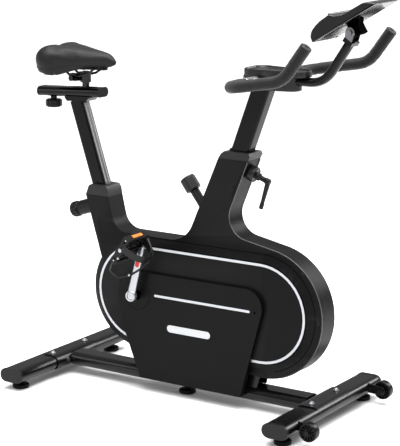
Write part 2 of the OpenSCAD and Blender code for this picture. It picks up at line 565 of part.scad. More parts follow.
module handlebar_post() { color([0.06, 0.06, 0.06]) place() difference() {
  union() {
    difference() {
      in_bar() translate([0, 0, -110]) linear_extrude(345) polygon(rrect(post_d, post_w, 6));
      translate([600, -50, 936]) cube([300, 100, 100]);
    }
    translate([706, -26, 930]) cube([88, 52, 6]);
    ycyl([745, 955], -26, 26, 18.6);
    translate([729, -26, 934]) cube([32, 52, 16]);
    translate([780, -23, 934]) cube([18, 46, 36]);
  }
  in_bar() translate([0, 0, -120]) linear_extrude(315) polygon(rrect(post_d - 4, post_w - 4, 4));
  ycyl([745, 955], -40, 40, tube_r + 0.05);
  oval_sweep(mast_path, mast_r + 0.05, mast_y + 0.05);
} }
module clamp_lever() { color([0.1, 0.1, 0.1]) place() in_bar() {
  ucyl(-23, post_d/2 + 0.7, 68, 6);
  ucyl(-23, 66.6, 79, 11);
  ucyl(-23, 79, 100, 7);
  ucyl(-23, 98, 114, 9.5);
  translate([108, 0, -28]) rotate([0, 176, 0]) cylinder(r1 = 7.5, r2 = 5.5, h = 74);
  translate([113.2, 0, -102]) sphere(r = 6.2);
} }

// one half of the handlebar: along y, round the rear corner, forward, then up
half_bar = concat([[745, 0, 955], [745, 128, 955]],
  bend([745, 128, 955], [756, grip_y, 957], [900, grip_y, 982], 58, 7),
  bend([756, grip_y, 957], [934, grip_y, 988], [1004, grip_y, 1083], 34, 6),
  [[1002.6, grip_y, 1081.1]]);
function flip_y(p) = [for (q = p) [q[0], -q[1], q[2]]];
function back(p) = [for (i = [len(p)-1:-1:0]) p[i]];
bar_path = concat(flip_y(back(half_bar)), [for (i = [1:len(half_bar)-1]) half_bar[i]]);
module handlebar() { color([0.1, 0.1, 0.1]) place() sweep(bar_path, tube_r, 20); }
module grip(s) {
  g = [for (q = concat([[745, 130, 955]], [for (i = [2:len(half_bar)-2]) half_bar[i]], [[1003.6, grip_y, 1082.5]])) [q[0], s*q[1], q[2]]];
  difference() { sweep(g, grip_r, 24); sweep(bar_path, tube_r + 0.05, 20); }
}
module handlebar_grips() { color([0.12, 0.12, 0.12]) place() { grip(-1); grip(1); } }
module pulse_sensors() { color([0.75, 0.76, 0.78]) place() for (s = [-1, 1]) difference() {
  ycyl([745, 955], s > 0 ? 62 : -122, s > 0 ? 122 : -62, 16);
  ycyl([745, 955], -150, 150, tube_r + 0.05);
} }
tray_line = concat(arc([846, 0], 36, -60, 60, 10), arc([716, 22], 28, 80, 180, 6), arc([716, -22], 28, 180, 280, 6));
module handlebar_cover() { color([0.15, 0.15, 0.16]) place() difference() {
  union() {
    translate([0, 0, 967]) linear_extrude(19) polygon(tray_line);
    hull() { zcyl(820, 0, 928, 968, 31); translate([692, -45, 928]) cube([60, 90, 40]); }
  }
  // hollow underneath for the stem
  hull() { zcyl(820, 0, 920, 975, 27.5); translate([696, -41, 920]) cube([56, 82, 55]); }
  translate([0, 0, 980]) linear_extrude(10) polygon(grow(tray_line, -5));
  ycyl([745, 955], -150, 150, tube_r + 0.6);
  oval_sweep(mast_path, mast_r + 0.6, mast_y + 0.6);
} }
// half thickness and half width of the console mast
mast_r = 12.5;
mast_y = 19;
mast_path = concat([[792, 0, 955]], bend([792, 0, 955], [925, 0, 955], [1010, 0, 1082], 44, 8), [[1009, 0, 1080.5]]);
module console_mast() { color([0.08, 0.08, 0.08]) place() oval_sweep(mast_path, mast_r, mast_y); }
console_c = [1010, 1100];
module console_bracket() { color([0.5, 0.51, 0.53]) place() {
  difference() {
    union() {
      translate([1006, -21.5, 1076.4]) rotate([0, 33.8, 0]) translate([-14.5, 0, -9]) cube([29, 43, 12]);
      for (s = [-1, 1]) yext(s > 0 ? 17.5 : -20.5, s > 0 ? 20.5 : -17.5) polygon(concat([[995, 1082], [1014, 1069]], arc(console_c, 14, -30, 150, 10)));
    }
    oval_sweep(concat(mast_path, [[1012, 0, 1085]]), mast_r + 0.03, mast_y + 0.03);
    translate([960, -17.4, 1078]) cube([80, 34.8, 40]);
    ycyl(console_c, -17.4, 17.4, 15.2);
  }
  ycyl(console_c, -23, 23, 4);
  ycyl(console_c, -26.5, -23, 7);
  ycyl(console_c, 23, 26.5, 7);
} }
console_line = [[922, 1071], [1110, 1184], [1098, 1187], [1079, 1187.5], [1066, 1183], [1036, 1165.5], [1015, 1152.5], [985, 1147], [970, 1150], [961, 1143], [942, 1130], [928, 1116], [919, 1104], [915, 1088]];
module in_face() { translate([946, 0, 1131]) rotate([0, -38, 0]) children(); }
module console_housing() { color([0.1, 0.1, 0.11]) place() difference() {
  union() {
    difference() {
      yext(-68, 68) polygon(console_line);
      yext(-65.5, 65.5) polygon(grow(console_line, -2.5));
    }
    // pivot lug under the housing
    yext(-15.5, 15.5) polygon(concat([[1000, 1119.3]], arc(console_c, 13, 150, 330, 12), [[1030, 1104], [1034, 1139.8]]));
    // socket box for the sensor leads and batteries
    yext(-20, 20) polygon([[1011.3, 1128.2], [1032.4, 1093], [1044.4, 1100.3], [1023.3, 1135.4]]);
    // backing block behind the display and the button
    in_face() translate([-17, -61, -9]) cube([34, 122, 8.8]);
  }
  ycyl(console_c, -30, 30, 4.06);
  in_face() translate([-13, -42, -1.6]) cube([26, 84, 8]);
  in_face() translate([0, 54, -6]) cylinder(r = 6.3, h = 12);
} }
module console_screen() { color([0.03, 0.05, 0.06]) place() in_face() translate([-12.8, -41.8, -1.6]) cube([25.6, 83.6, 1.4]); }
module console_button() { color([0.6, 0.6, 0.62]) place() in_face() translate([0, 54, -4.2]) cylinder(r = 6, h = 6); }

floor_beam();
rear_stabilizer();
front_stabilizer();
stabilizer_end_caps();
fasteners();
foot_front_right();
foot_front_left();
foot_rear_right();
foot_rear_left();
foot_middle();
transport_wheel_right();
transport_wheel_left();
seat_tube();
handlebar_tube();
post_liners();
shaft_bearings();
casing_right();
casing_left();
lower_panel_right();
lower_panel_left();
trim_stripes();
crank_discs();
post_collars();
drive_belt();
knob_sleeves();
clamp_boss();
crank_axle();
crank_pulley();
crank_arm_right();
crank_arm_left();
pedal_spindles();
pedal_right();
pedal_strap_right();
pedal_left();
pedal_strap_left();
flywheel();
flywheel_axle();
brake_rod();
resistance_knob();
brake_carriage();
seat_post();
seat_pin();
seat_pin_knob();
seat_rail();
saddle_carriage();
carriage_knob();
saddle_rails();
saddle_base();
saddle_cushion();
handlebar_post();
clamp_lever();
handlebar();
handlebar_grips();
pulse_sensors();
handlebar_cover();
console_mast();
console_bracket();
console_housing();
console_screen();
console_button();
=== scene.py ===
import bpy, bmesh, math
import numpy as np
from mathutils import Vector, Matrix
from mathutils.bvhtree import BVHTree


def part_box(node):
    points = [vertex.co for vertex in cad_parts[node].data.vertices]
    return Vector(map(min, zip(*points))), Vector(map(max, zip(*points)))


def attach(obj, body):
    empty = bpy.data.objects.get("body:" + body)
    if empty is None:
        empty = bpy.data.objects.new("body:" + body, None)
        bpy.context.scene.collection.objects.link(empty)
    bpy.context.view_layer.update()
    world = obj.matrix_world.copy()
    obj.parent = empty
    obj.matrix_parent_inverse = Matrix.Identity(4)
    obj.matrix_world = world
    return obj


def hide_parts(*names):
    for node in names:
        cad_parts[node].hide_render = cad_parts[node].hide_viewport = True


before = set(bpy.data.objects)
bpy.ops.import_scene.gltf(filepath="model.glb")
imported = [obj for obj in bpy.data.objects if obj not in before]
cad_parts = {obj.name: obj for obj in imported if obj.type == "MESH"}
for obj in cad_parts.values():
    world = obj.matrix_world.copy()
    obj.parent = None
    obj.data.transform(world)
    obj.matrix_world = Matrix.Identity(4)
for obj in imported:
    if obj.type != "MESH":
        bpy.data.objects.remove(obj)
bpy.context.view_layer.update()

lo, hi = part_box("flywheel")
X0 = 760 - 500 * (lo.x + hi.x)          # the design's datum x, in mm, over the row frame's origin
rad = math.radians


def P(x, y, z):
    return Vector(((x - X0) / 1000, y / 1000, z / 1000))


# ------------------------------------------------------------------ materials
def material(name, color, rough=0.5, metal=0.0, spec=0.5, grain=None, var=0.12, rvar=0.08, coat=0.0,
             coat_rough=0.1, wear=0.0, stretch=None, sheen=0.0, trans=0.0, cells=None, patch=14.0):
    m = bpy.data.materials.new(name)
    m.use_nodes = True
    nt = m.node_tree
    N, L = nt.nodes, nt.links
    b = N["Principled BSDF"]
    b.inputs["Metallic"].default_value = metal
    b.inputs["Specular IOR Level"].default_value = spec
    b.inputs["Coat Weight"].default_value = coat
    b.inputs["Coat Roughness"].default_value = coat_rough
    b.inputs["Sheen Weight"].default_value = sheen
    b.inputs["Transmission Weight"].default_value = trans
    tc = N.new("ShaderNodeTexCoord")
    mp = N.new("ShaderNodeMapping")
    L.new(tc.outputs["Object"], mp.inputs["Vector"])
    if stretch:
        mp.inputs["Scale"].default_value = stretch
    n1 = N.new("ShaderNodeTexNoise")
    n1.inputs["Scale"].default_value = patch
    n1.inputs["Detail"].default_value = 4
    L.new(mp.outputs["Vector"], n1.inputs["Vector"])
    mix = N.new("ShaderNodeMix")
    mix.data_type = "RGBA"
    a = [c * (1 - var) for c in color]
    d = [min(1, c * (1 + var)) for c in color]
    mix.inputs[6].default_value = (*a, 1)
    mix.inputs[7].default_value = (*d, 1)
    L.new(n1.outputs["Fac"], mix.inputs[0])
    col = mix.outputs[2]
    if wear > 0:
        geo = N.new("ShaderNodeNewGeometry")
        ramp = N.new("ShaderNodeMapRange")
        ramp.inputs["From Min"].default_value = 0.52
        ramp.inputs["From Max"].default_value = 0.62
        ramp.inputs["To Max"].default_value = wear
        L.new(geo.outputs["Pointiness"], ramp.inputs["Value"])
        mw = N.new("ShaderNodeMix")
        mw.data_type = "RGBA"
        L.new(ramp.outputs["Result"], mw.inputs[0])
        L.new(col, mw.inputs[6])
        mw.inputs[7].default_value = (*[min(1, c * 2.6 + 0.03) for c in color], 1)
        col = mw.outputs[2]
    L.new(col, b.inputs["Base Color"])
    r = N.new("ShaderNodeMapRange")
    r.inputs["To Min"].default_value = max(0.02, rough - rvar)
    r.inputs["To Max"].default_value = min(1, rough + rvar)
    L.new(n1.outputs["Fac"], r.inputs["Value"])
    L.new(r.outputs["Result"], b.inputs["Roughness"])
    last = None
    if grain:
        scale, depth = grain
        n2 = N.new("ShaderNodeTexNoise")
        n2.inputs["Scale"].default_value = scale
        n2.inputs["Detail"].default_value = 3
        L.new(mp.outputs["Vector"], n2.inputs["Vector"])
        bp = N.new("ShaderNodeBump")
        bp.inputs["Strength"].default_value = 1.0
        bp.inputs["Distance"].default_value = depth
        L.new(n2.outputs["Fac"], bp.inputs["Height"])
        last = bp
    if cells:
        scale, depth = cells
        v = N.new("ShaderNodeTexVoronoi")
        v.feature = "DISTANCE_TO_EDGE"
        v.inputs["Scale"].default_value = scale
        L.new(mp.outputs["Vector"], v.inputs["Vector"])
        vr = N.new("ShaderNodeMapRange")
        vr.inputs["From Max"].default_value = 0.15
        L.new(v.outputs["Distance"], vr.inputs["Value"])
        bp2 = N.new("ShaderNodeBump")
        bp2.inputs["Strength"].default_value = 1.0
        bp2.inputs["Distance"].default_value = depth
        L.new(vr.outputs["Result"], bp2.inputs["Height"])
        if last:
            L.new(last.outputs["Normal"], bp2.inputs["Normal"])
        last = bp2
    if last:
        L.new(last.outputs["Normal"], b.inputs["Normal"])
    return m


M = {
    "casing": material("casing_grain", (0.0034, 0.0034, 0.0037), 0.40, spec=0.17, grain=(900, 0.00012), wear=0.16, patch=6),
    "panel": material("panel_grain", (0.0036, 0.0036, 0.0039), 0.38, spec=0.17, grain=(900, 0.00010), wear=0.16, patch=6),
    "collar": material("collar_satin", (0.018, 0.018, 0.019), 0.38, spec=0.3, grain=(700, 0.0001), wear=0.2),
    "frame": material("powder_coat", (0.003, 0.003, 0.0033), 0.24, spec=0.42, grain=(420, 0.00007), wear=0.12),
    "post": material("post_paint", (0.0025, 0.0025, 0.0028), 0.20, spec=0.26, grain=(380, 0.00005), wear=0.12),
    "cap": material("cap_matte", (0.012, 0.012, 0.0125), 0.42, spec=0.3, grain=(800, 0.00015), wear=0.2),
    "rubber": material("foot_rubber", (0.003, 0.003, 0.003), 0.5, spec=0.2, grain=(600, 0.0002)),
    "wheel": material("wheel_plastic", (0.003, 0.003, 0.003), 0.3, spec=0.3, grain=(600, 0.0001), wear=0.15),
    "bolt": material("bolt_zinc", (0.46, 0.47, 0.49), 0.3, metal=1, grain=(900, 0.00005), var=0.15),
    "bright": material("bright_steel", (0.40, 0.41, 0.43), 0.14, metal=1, grain=(900, 0.00003), var=0.1),
    "crank": material("crank_silver", (0.42, 0.43, 0.45), 0.26, metal=0.75, grain=(500, 0.00006), var=0.06, wear=0.1),
    "knob": material("knob_satin", (0.006, 0.006, 0.0063), 0.34, spec=0.26, grain=(800, 0.0001), wear=0.2),
    "lever": material("lever_dark", (0.007, 0.007, 0.0073), 0.32, spec=0.28, grain=(700, 0.0001), wear=0.2),
    "pedal": material("pedal_plastic", (0.006, 0.006, 0.0063), 0.34, spec=0.30, grain=(600, 0.00015), wear=0.4),
    "strap": material("strap_plastic", (0.008, 0.008, 0.0083), 0.34, spec=0.35, grain=(700, 0.00015), wear=0.4),
    "orange": material("reflector_orange", (0.62, 0.20, 0.02), 0.18, spec=0.6, coat=0.6, cells=(700, 0.0003), var=0.15),
    "red": material("accent_red", (0.50, 0.030, 0.034), 0.3, spec=0.5, grain=(600, 0.00006), var=0.15),
    "trim": material("trim_silver", (0.47, 0.48, 0.50), 0.32, metal=0.15, spec=0.5, grain=(800, 0.00004), var=0.04),
    "vinyl": material("saddle_vinyl", (0.010, 0.010, 0.0106), 0.36, spec=0.30, grain=(160, 0.0002), cells=(900, 0.00014), var=0.10, rvar=0.05),
    "shell": material("saddle_shell", (0.003, 0.003, 0.003), 0.45, spec=0.25, grain=(700, 0.00015)),
    "foam": material("grip_foam", (0.006, 0.006, 0.0063), 0.42, spec=0.26, grain=(700, 0.0003), cells=(1500, 0.0002), sheen=0.15),
    "chrome": material("sensor_chrome", (0.82, 0.83, 0.85), 0.12, metal=1, grain=(500, 0.00002), var=0.05),
    "cover": material("cover_satin", (0.018, 0.018, 0.0186), 0.28, spec=0.36, grain=(800, 0.0001), wear=0.2),
    "bracket": material("bracket_steel", (0.26, 0.265, 0.28), 0.35, metal=1, grain=(500, 0.00006), stretch=(1, 1, 6)),
    "console": material("console_gloss", (0.003, 0.003, 0.0033), 0.14, spec=0.40, grain=(500, 0.00004), coat=0.15, coat_rough=0.08, wear=0.1),
    "screen": material("screen_window", (0.020, 0.026, 0.030), 0.06, spec=0.6, coat=0.8, grain=(300, 0.00001), var=0.2),
    "button": material("button_grey", (0.22, 0.22, 0.23), 0.4, grain=(700, 0.0001)),
    "iron": material("flywheel_iron", (0.30, 0.30, 0.31), 0.35, metal=1, grain=(300, 0.00012)),
    "belt": material("belt_rubber", (0.015, 0.015, 0.015), 0.6, grain=(500, 0.0002)),
    "plate": material("name_plate", (0.50, 0.51, 0.52), 0.34, metal=0.4, spec=0.5, grain=(600, 0.00005), var=0.04),
    "stem": material("stem_dark_chrome", (0.05, 0.05, 0.053), 0.16, metal=0.9, grain=(500, 0.00004), var=0.1),
    # painted highlight: a lighter, glossier grey than the casing, for the lips along its edges
    "highlight_lip": material("casing_highlight_lip", (0.075, 0.075, 0.077), 0.24, spec=0.6, grain=(700, 0.00004)),
    # painted highlight: a lighter silver for the two reflection lines on the seat post's front
    "line": material("post_highlight_paint", (0.090, 0.090, 0.094), 0.24, metal=0.2, grain=(500, 0.00004), var=0.05),
    "groove": material("groove_dark", (0.0008, 0.0008, 0.0008), 0.8, spec=0.02, grain=(500, 0.0001)),
}

# ------------------------------------------------------------------ CAD nodes that stay
KEEP = {
    "floor_beam": ("frame", 1.0), "rear_stabilizer": ("frame", 0.6), "front_stabilizer": ("frame", 0.6),
    "stabilizer_end_caps": ("cap", 2.0), "fasteners": ("bolt", 0.4), "seat_tube": ("frame", 0.8), "handlebar_tube": ("frame", 0.8),
    "post_liners": ("shell", 0.4), "shaft_bearings": ("bright", 0.3), "casing_right": ("casing", 1.6), "casing_left": ("casing", 1.6),
    "lower_panel_right": ("panel", 2.6), "lower_panel_left": ("panel", 2.6), "trim_stripes": ("trim", 0.25),
    "crank_discs": ("panel", 1.2), "post_collars": ("collar", 2.2), "drive_belt": ("belt", 0.4), "knob_sleeves": ("knob", 1.0),
    "crank_axle": ("bright", 0.5), "crank_pulley": ("knob", 0.6), "pedal_spindles": ("bright", 0.5),
    "flywheel": ("iron", 0.6), "flywheel_axle": ("bright", 0.4), "brake_rod": ("bright", 0.4), "brake_carriage": ("bolt", 0.5),
    "seat_post": ("post", 0.5), "seat_pin": ("bright", 0.4), "seat_rail": ("post", 0.8), "saddle_carriage": ("stem", 0.6),
    "saddle_rails": ("frame", 0.4), "saddle_base": ("shell", 1.0), "handlebar_post": ("post", 0.8),
    "pulse_sensors": ("chrome", 0.6), "console_bracket": ("bracket", 0.8), "console_screen": ("screen", 0.3),
    "console_button": ("button", 0.8),
}
for node, (mat, w) in KEEP.items():
    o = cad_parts[node]
    o.data.materials.clear()
    o.data.materials.append(M[mat])
    for p in o.data.polygons:
        p.use_smooth = True
        p.material_index = 0
    wd = o.modifiers.new("weld", "WELD")
    wd.merge_threshold = 2e-5
    bv = o.modifiers.new("round", "BEVEL")
    bv.width = w / 1000
    bv.segments = 3 if w > 1 else 2
    bv.limit_method = "ANGLE"
    bv.angle_limit = rad(32)
    wn = o.modifiers.new("wn", "WEIGHTED_NORMAL")
    wn.keep_sharp = False
    wn.weight = 50


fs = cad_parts["fasteners"]
fs.data.materials.append(M["knob"])
for p in fs.data.polygons:
    if p.center.z > 0.12 or (p.center.z < 0.062 and abs(p.center.x - P(1016, 0, 0).x) < 0.02):
        p.material_index = 1
# the bracket's clamp is black; only its cheeks round the pivot are bare steel
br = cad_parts["console_bracket"]
br.data.materials.append(M["post"])
for p in br.data.polygons:
    c = P(1010, 0, 1100)
    if math.hypot(p.center.x - c.x, p.center.z - c.z) > 0.0165:
        p.material_index = 1


# ------------------------------------------------------------------ mesh helpers
def finish_obj(name, me, mat, body, repl=(), bevel=0.0, segs=3, sub=0, angle=32, clean=True):
    if clean:
        bm = bmesh.new()
        bm.from_mesh(me)
        bmesh.ops.remove_doubles(bm, verts=bm.verts, dist=2e-6)
        bmesh.ops.recalc_face_normals(bm, faces=bm.faces)
        bm.to_mesh(me)
        bm.free()
    for p in me.polygons:
        p.use_smooth = True
    me.materials.append(M[mat])
    o = bpy.data.objects.new(name, me)
    bpy.context.scene.collection.objects.link(o)
    if bevel:
        b = o.modifiers.new("round", "BEVEL")
        b.width = bevel / 1000
        b.segments = segs
        b.limit_method = "ANGLE"
        b.angle_limit = rad(angle)
    if sub:
        s = o.modifiers.new("sub", "SUBSURF")
        s.levels = s.render_levels = sub
    if not sub:
        w = o.modifiers.new("wn", "WEIGHTED_NORMAL")
        w.keep_sharp = False
        w.weight = 50
    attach(o, body)
    if repl:
        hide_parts(*repl)
    return o


def from_faces(name, verts, faces, mat, body, **kw):
    me = bpy.data.meshes.new(name)
    me.from_pydata([tuple(v) for v in verts], [], faces)
    me.update()
    return finish_obj(name, me, mat, body, **kw)


def basis(axis):
    a = Vector(axis).normalized()
    u = a.cross(Vector((0, 1, 0)))
    if u.length < 0.1:
        u = a.cross(Vector((1, 0, 0)))
    u.normalize()
    return a, u, a.cross(u).normalized()


def soften(pr, r, n=3):
    """a (r, t) outline with its inner corners rounded"""
    out = [pr[0]]
    for i in range(1, len(pr) - 1):
        a, b, c = Vector(pr[i - 1]), Vector(pr[i]), Vector(pr[i + 1])
        d1, d2 = (a - b).length, (c - b).length
        k = min(r, d1 * 0.45, d2 * 0.45)
        if k < 1e-4:
            out.append(tuple(b))
            continue
        p, q = b + (a - b).normalized() * k, b + (c - b).normalized() * k
        for j in range(n + 1):
            t = j / n
            out.append(tuple(p * (1 - t) ** 2 + b * 2 * t * (1 - t) + q * t * t))
    out.append(pr[-1])
    return out


def lathe_data(prof, origin, axis, n=48, mod=None, closed=False):
    """prof: (radius, distance along axis) in mm"""
    a, u, v = basis(axis)
    V, F = [], []
    rings = []
    for i, (r, t) in enumerate(prof):
        if r < 1e-6:
            V.append(origin + a * t / 1000)
            rings.append([len(V) - 1])
            continue
        ring = []
        for k in range(n):
            th = 2 * math.pi * k / n
            rr = r if mod is None else mod(r, t, th)
            V.append(origin + a * t / 1000 + (u * math.cos(th) + v * math.sin(th)) * rr / 1000)
            ring.append(len(V) - 1)
        rings.append(ring)
    pairs = list(zip(rings, rings[1:]))
    if closed:
        pairs.append((rings[-1], rings[0]))
    for A, B in pairs:
        if len(A) == 1 and len(B) == 1:
            continue
        for k in range(n):
            k2 = (k + 1) % n
            if len(A) == 1:
                F.append((A[0], B[k2], B[k]))
            elif len(B) == 1:
                F.append((A[k], A[k2], B[0]))
            else:
                F.append((A[k], A[k2], B[k2], B[k]))
    return V, F


def lathe(name, prof, origin, axis, mat, body, n=48, mod=None, round_r=0.8, closed=False, **kw):
    if round_r:
        prof = soften(prof, round_r)
    V, F = lathe_data(prof, origin, axis, n, mod, closed)
    return from_faces(name, V, F, mat, body, **kw)


def merge(parts):
    V, F = [], []
    for v, f in parts:
        k = len(V)
        V += list(v)
        F += [tuple(i + k for i in q) for q in f]
    return V, F


def prism_data(loops, f, a, b):
    """loops of (p, q) in mm, first the outline then holes, run from a to b; f(p, q, r) gives the place"""
    bm = bmesh.new()
    for lp in loops:
        vs = [bm.verts.new(f(p, q, a)) for p, q in lp]
        for i in range(len(vs)):
            bm.edges.new((vs[i], vs[(i + 1) % len(vs)]))
    if len(loops) == 1:
        bm.verts.ensure_lookup_table()
        bm.faces.new(list(bm.verts))
    else:
        bmesh.ops.triangle_fill(bm, use_beauty=True, use_dissolve=False, edges=bm.edges[:])
        bmesh.ops.dissolve_limit(bm, angle_limit=0.002, verts=bm.verts[:], edges=[e for e in bm.edges if len(e.link_faces) == 2])
    ext = bmesh.ops.extrude_face_region(bm, geom=bm.faces[:])
    d = f(0, 0, b) - f(0, 0, a)
    bmesh.ops.translate(bm, verts=[g for g in ext["geom"] if isinstance(g, bmesh.types.BMVert)], vec=d)
    bm.verts.ensure_lookup_table()
    V = [v.co.copy() for v in bm.verts]
    F = [tuple(v.index for v in fc.verts) for fc in bm.faces]
    bm.free()
    return V, F


def arc(c, r, a0, a1, n):
    return [(c[0] + r * math.cos(rad(a0 + (a1 - a0) * i / n)), c[1] + r * math.sin(rad(a0 + (a1 - a0) * i / n))) for i in range(n + 1)]


def rrect(a, b, r, n=6):
    return (arc((a / 2 - r, -b / 2 + r), r, -90, 0, n) + arc((a / 2 - r, b / 2 - r), r, 0, 90, n)
            + arc((-a / 2 + r, b / 2 - r), r, 90, 180, n) + arc((-a / 2 + r, -b / 2 + r), r, 180, 270, n))


def slot_line(w, h, n=14):
    return arc((w / 2 - h / 2, 0), h / 2, -90, 90, n) + arc((-w / 2 + h / 2, 0), h / 2, 90, 270, n)


def tube_data(path, r, n=28, ends=0.0, mod=None, ry=None):
    """round tube along a path of metre points; ends > 0 domes both ends by that many mm"""
    pts = [Vector(p) for p in path]
    V, F = [], []
    t0 = (pts[1] - pts[0]).normalized()
    a = basis(t0)[1]
    rings = []
    L = [0.0]
    for i in range(1, len(pts)):
        L.append(L[-1] + (pts[i] - pts[i - 1]).length)
    for i, p in enumerate(pts):
        d = (pts[min(i + 1, len(pts) - 1)] - pts[max(i - 1, 0)]).normalized()
        a = (a - d * a.dot(d)).normalized()
        b = d.cross(a)
        rr = r if mod is None else mod(L[i] * 1000, L[-1] * 1000)
        rings.append((p, a.copy(), b.copy(), rr, d))
    full = []
    if ends:
        p, A, B, rr, d = rings[0]
        for k in range(4):
            t = math.pi / 2 * k / 4
            full.append((p - d * ends / 1000 * math.cos(t), A, B, max(rr * math.sin(t), 0.15), d))
    full += rings
    if ends:
        p, A, B, rr, d = rings[-1]
        for k in range(3, -1, -1):
            t = math.pi / 2 * k / 4
            full.append((p + d * ends / 1000 * math.cos(t), A, B, max(rr * math.sin(t), 0.15), d))
    for p, A, B, rr, d in full:
        for k in range(n):
            th = 2 * math.pi * k / n
            V.append(p + (A * math.cos(th) * rr + B * math.sin(th) * (rr if ry is None else ry)) / 1000)
    m = len(full)
    for i in range(m - 1):
        for k in range(n):
            k2 = (k + 1) % n
            F.append((i * n + k, i * n + k2, (i + 1) * n + k2, (i + 1) * n + k))
    F.append(tuple(range(n - 1, -1, -1)))
    F.append(tuple((m - 1) * n + k for k in range(n)))
    return V, F


def bend(a, b, c, r, n=12):
    a, b, c = Vector(a), Vector(b), Vector(c)
    u, v = (a - b).normalized(), (c - b).normalized()
    p, q = b + u * r, b + v * r
    return [p * (1 - t) ** 2 + b * 2 * t * (1 - t) + q * t * t for t in [i / n for i in range(n + 1)]]


def spline(pts, step=6.0):
    """path with points no further apart than step, in mm"""
    out = [Vector(pts[0])]
    for q in pts[1:]:
        q = Vector(q)
        d = (q - out[-1]).length
        if d < 1e-6:
            continue
        k = max(1, int(d / step))
        s = out[-1].copy()
        out += [s.lerp(q, (i + 1) / k) for i in range(k)]
    return out


def mm(pts):
    return [P(*p) for p in pts]


def frame_of(o, lean):
    """side-view frame leaning back by lean degrees (+) or forward (-): f(u, y, w)"""
    c, s = math.cos(rad(lean)), math.sin(rad(lean))
    return lambda u, y, w: P(o[0] + u * c - w * s, y, o[1] + u * s + w * c)


seat_f = frame_of((183.7, 569), 18.1)
bar_f = frame_of((658.7, 724), -20.4)
rail_f = frame_of((66, 868), 1.3)
bt = rad(142.5)
brake_ax = Vector((math.sin(bt), 0, math.cos(bt)))
brake_p = lambda t: P(533, 0, 577) + brake_ax * t / 1000
seat_u = seat_f(1, 0, 0) - seat_f(0, 0, 0)
bar_u = bar_f(1, 0, 0) - bar_f(0, 0, 0)
YY = Vector((0, 1, 0))


def ribbed(n, depth, lo_t=-1e9, hi_t=1e9):
    return lambda r, t, th: r + (depth * max(0.0, math.cos(n * th)) if lo_t < t < hi_t and r > 12 else 0)


# ------------------------------------------------------------------ knobs
lathe("pop_pin_knob", [(0, -132), (17, -132), (20.5, -129.5), (21, -127), (21, -107), (18, -103.3), (12, -103), (5.2, -103), (5.2, -122.5), (0, -122.5)],
      seat_f(0, 0, -23), seat_u, "knob", "seat_pin_knob", n=112, mod=ribbed(14, 2.6, -129, -105.5), repl=("seat_pin_knob",))
lathe("seat_clamp_knob", [(0, 816), (17, 816), (21.5, 817), (23.2, 820.5), (23.2, 836), (21.5, 839.2), (14, 840), (9.5, 840.8), (9.5, 849.9), (4, 850.1), (4, 867), (0, 867)],
      P(-2, 0, 0), (0, 0, 1), "knob", "carriage_knob", n=100, mod=ribbed(10, 1.7, 818.5, 838), repl=("carriage_knob",))
lathe("resistance_cap", [(0, -92), (15, -92), (20, -91), (22.6, -87), (22.9, -80), (22.9, -53), (22, -49.2), (15.1, -49.2), (15.1, -57.8), (6.2, -58), (6.2, -70.8), (0, -70.8)],
      P(533, 0, 577), brake_ax, "collar", "resistance_knob", n=96, mod=lambda r, t, th: r + (0.0 if not (-84 < t < -53 and r > 20) else -0.5 * (1 + math.cos(24 * th)) / 2),
      repl=("resistance_knob",))
lathe("lever_boss", [(14, 32.2), (14, 41), (19, 43.8), (22.6, 46), (22.9, 50), (22.9, 61), (21.6, 64.8), (18.5, 66), (15.5, 64.2), (6.2, 64.2), (6.2, 32.2)],
      bar_f(0, 0, -23), bar_u, "cover", "frame", n=64, closed=True, repl=("clamp_boss",))
Va, Fa = lathe_data(soften([(0, 28.8), (5.9, 28.8), (5.9, 66.7), (10.8, 67), (10.8, 78), (7.4, 81), (7.4, 96), (9.2, 99.5), (9.4, 110), (7.5, 113.6), (0, 114)], 1.2), bar_f(0, 0, -23), bar_u, 48)
arm = [bar_f(107.2 + 0.0698 * t, 0, -30 - 0.9976 * t) for t in np.linspace(-3, 72, 16)]
Vb, Fb = tube_data(arm, 6.6, 28, ends=5.4, mod=lambda s, L: 7.4 - 1.9 * min(1, s / L * 1.2) + (0.9 if s > L * 0.86 else 0))
V, F = merge([(Va, Fa), (Vb, Fb)])
from_faces("lever_handle", V, F, "lever", "clamp_lever", repl=("clamp_lever",))

# ------------------------------------------------------------------ feet and wheels
for n, x, y in (("foot_front_right", 940, -229), ("foot_front_left", 940, 229), ("foot_rear_right", 32, -229), ("foot_rear_left", 32, 229), ("foot_middle", 479, 0)):
    lathe(n + "_pad", [(0, 0), (21.5, 0), (24.6, 2), (24.9, 4), (24.9, 9), (24, 11.5), (17, 13.6), (9.5, 14), (8.7, 14.8), (8.7, 19.8), (5, 20), (5, 55.5), (0, 56)],
          P(x, y, 0), (0, 0, 1), "rubber", n, n=72,
          mod=lambda r, t, th: r - (0.55 * (1 + math.cos(30 * th)) / 2 if 3 < t < 10 and r > 20 else 0) + (0.0 if not (14.5 < t < 19.9 and r > 8) else -0.55 * (1 - abs(math.cos(3 * th)))),
          repl=(n,))
for s, side in ((-1, "right"), (1, "left")):
    c = P(1016, s * 217.5, 44.7)
    parts = [lathe_data(soften([(4.1, -11.6), (8.6, -11.9), (9, -8), (9.2, -5.2), (21.2, -5.2), (21.8, -11.4), (24.6, -12), (26.6, -10), (26.95, -6), (26.95, 6), (26.6, 10), (24.6, 12), (21.8, 11.4), (21.2, 5.2), (9.2, 5.2), (9, 8), (8.6, 11.9), (4.1, 11.6)], 0.6), c, YY, 72, None, True)]
    for i in range(12):
        th = math.pi * 2 * i / 12
        e, g = Vector((math.cos(th), 0, math.sin(th))), Vector((-math.sin(th), 0, math.cos(th)))
        for q in (-1, 1):
            parts.append(prism_data([rrect(13.6, 2.6, 0.9, 3)], lambda p, w, h, e=e, g=g: c + (e * (15.2 + p) + g * w + YY * h) / 1000, q * 4.6, q * 10.4))
    V, F = merge(parts)
    from_faces("wheel_" + side, V, F, "wheel", "transport_wheel_" + side, repl=("transport_wheel_" + side,), bevel=0.25, segs=2)

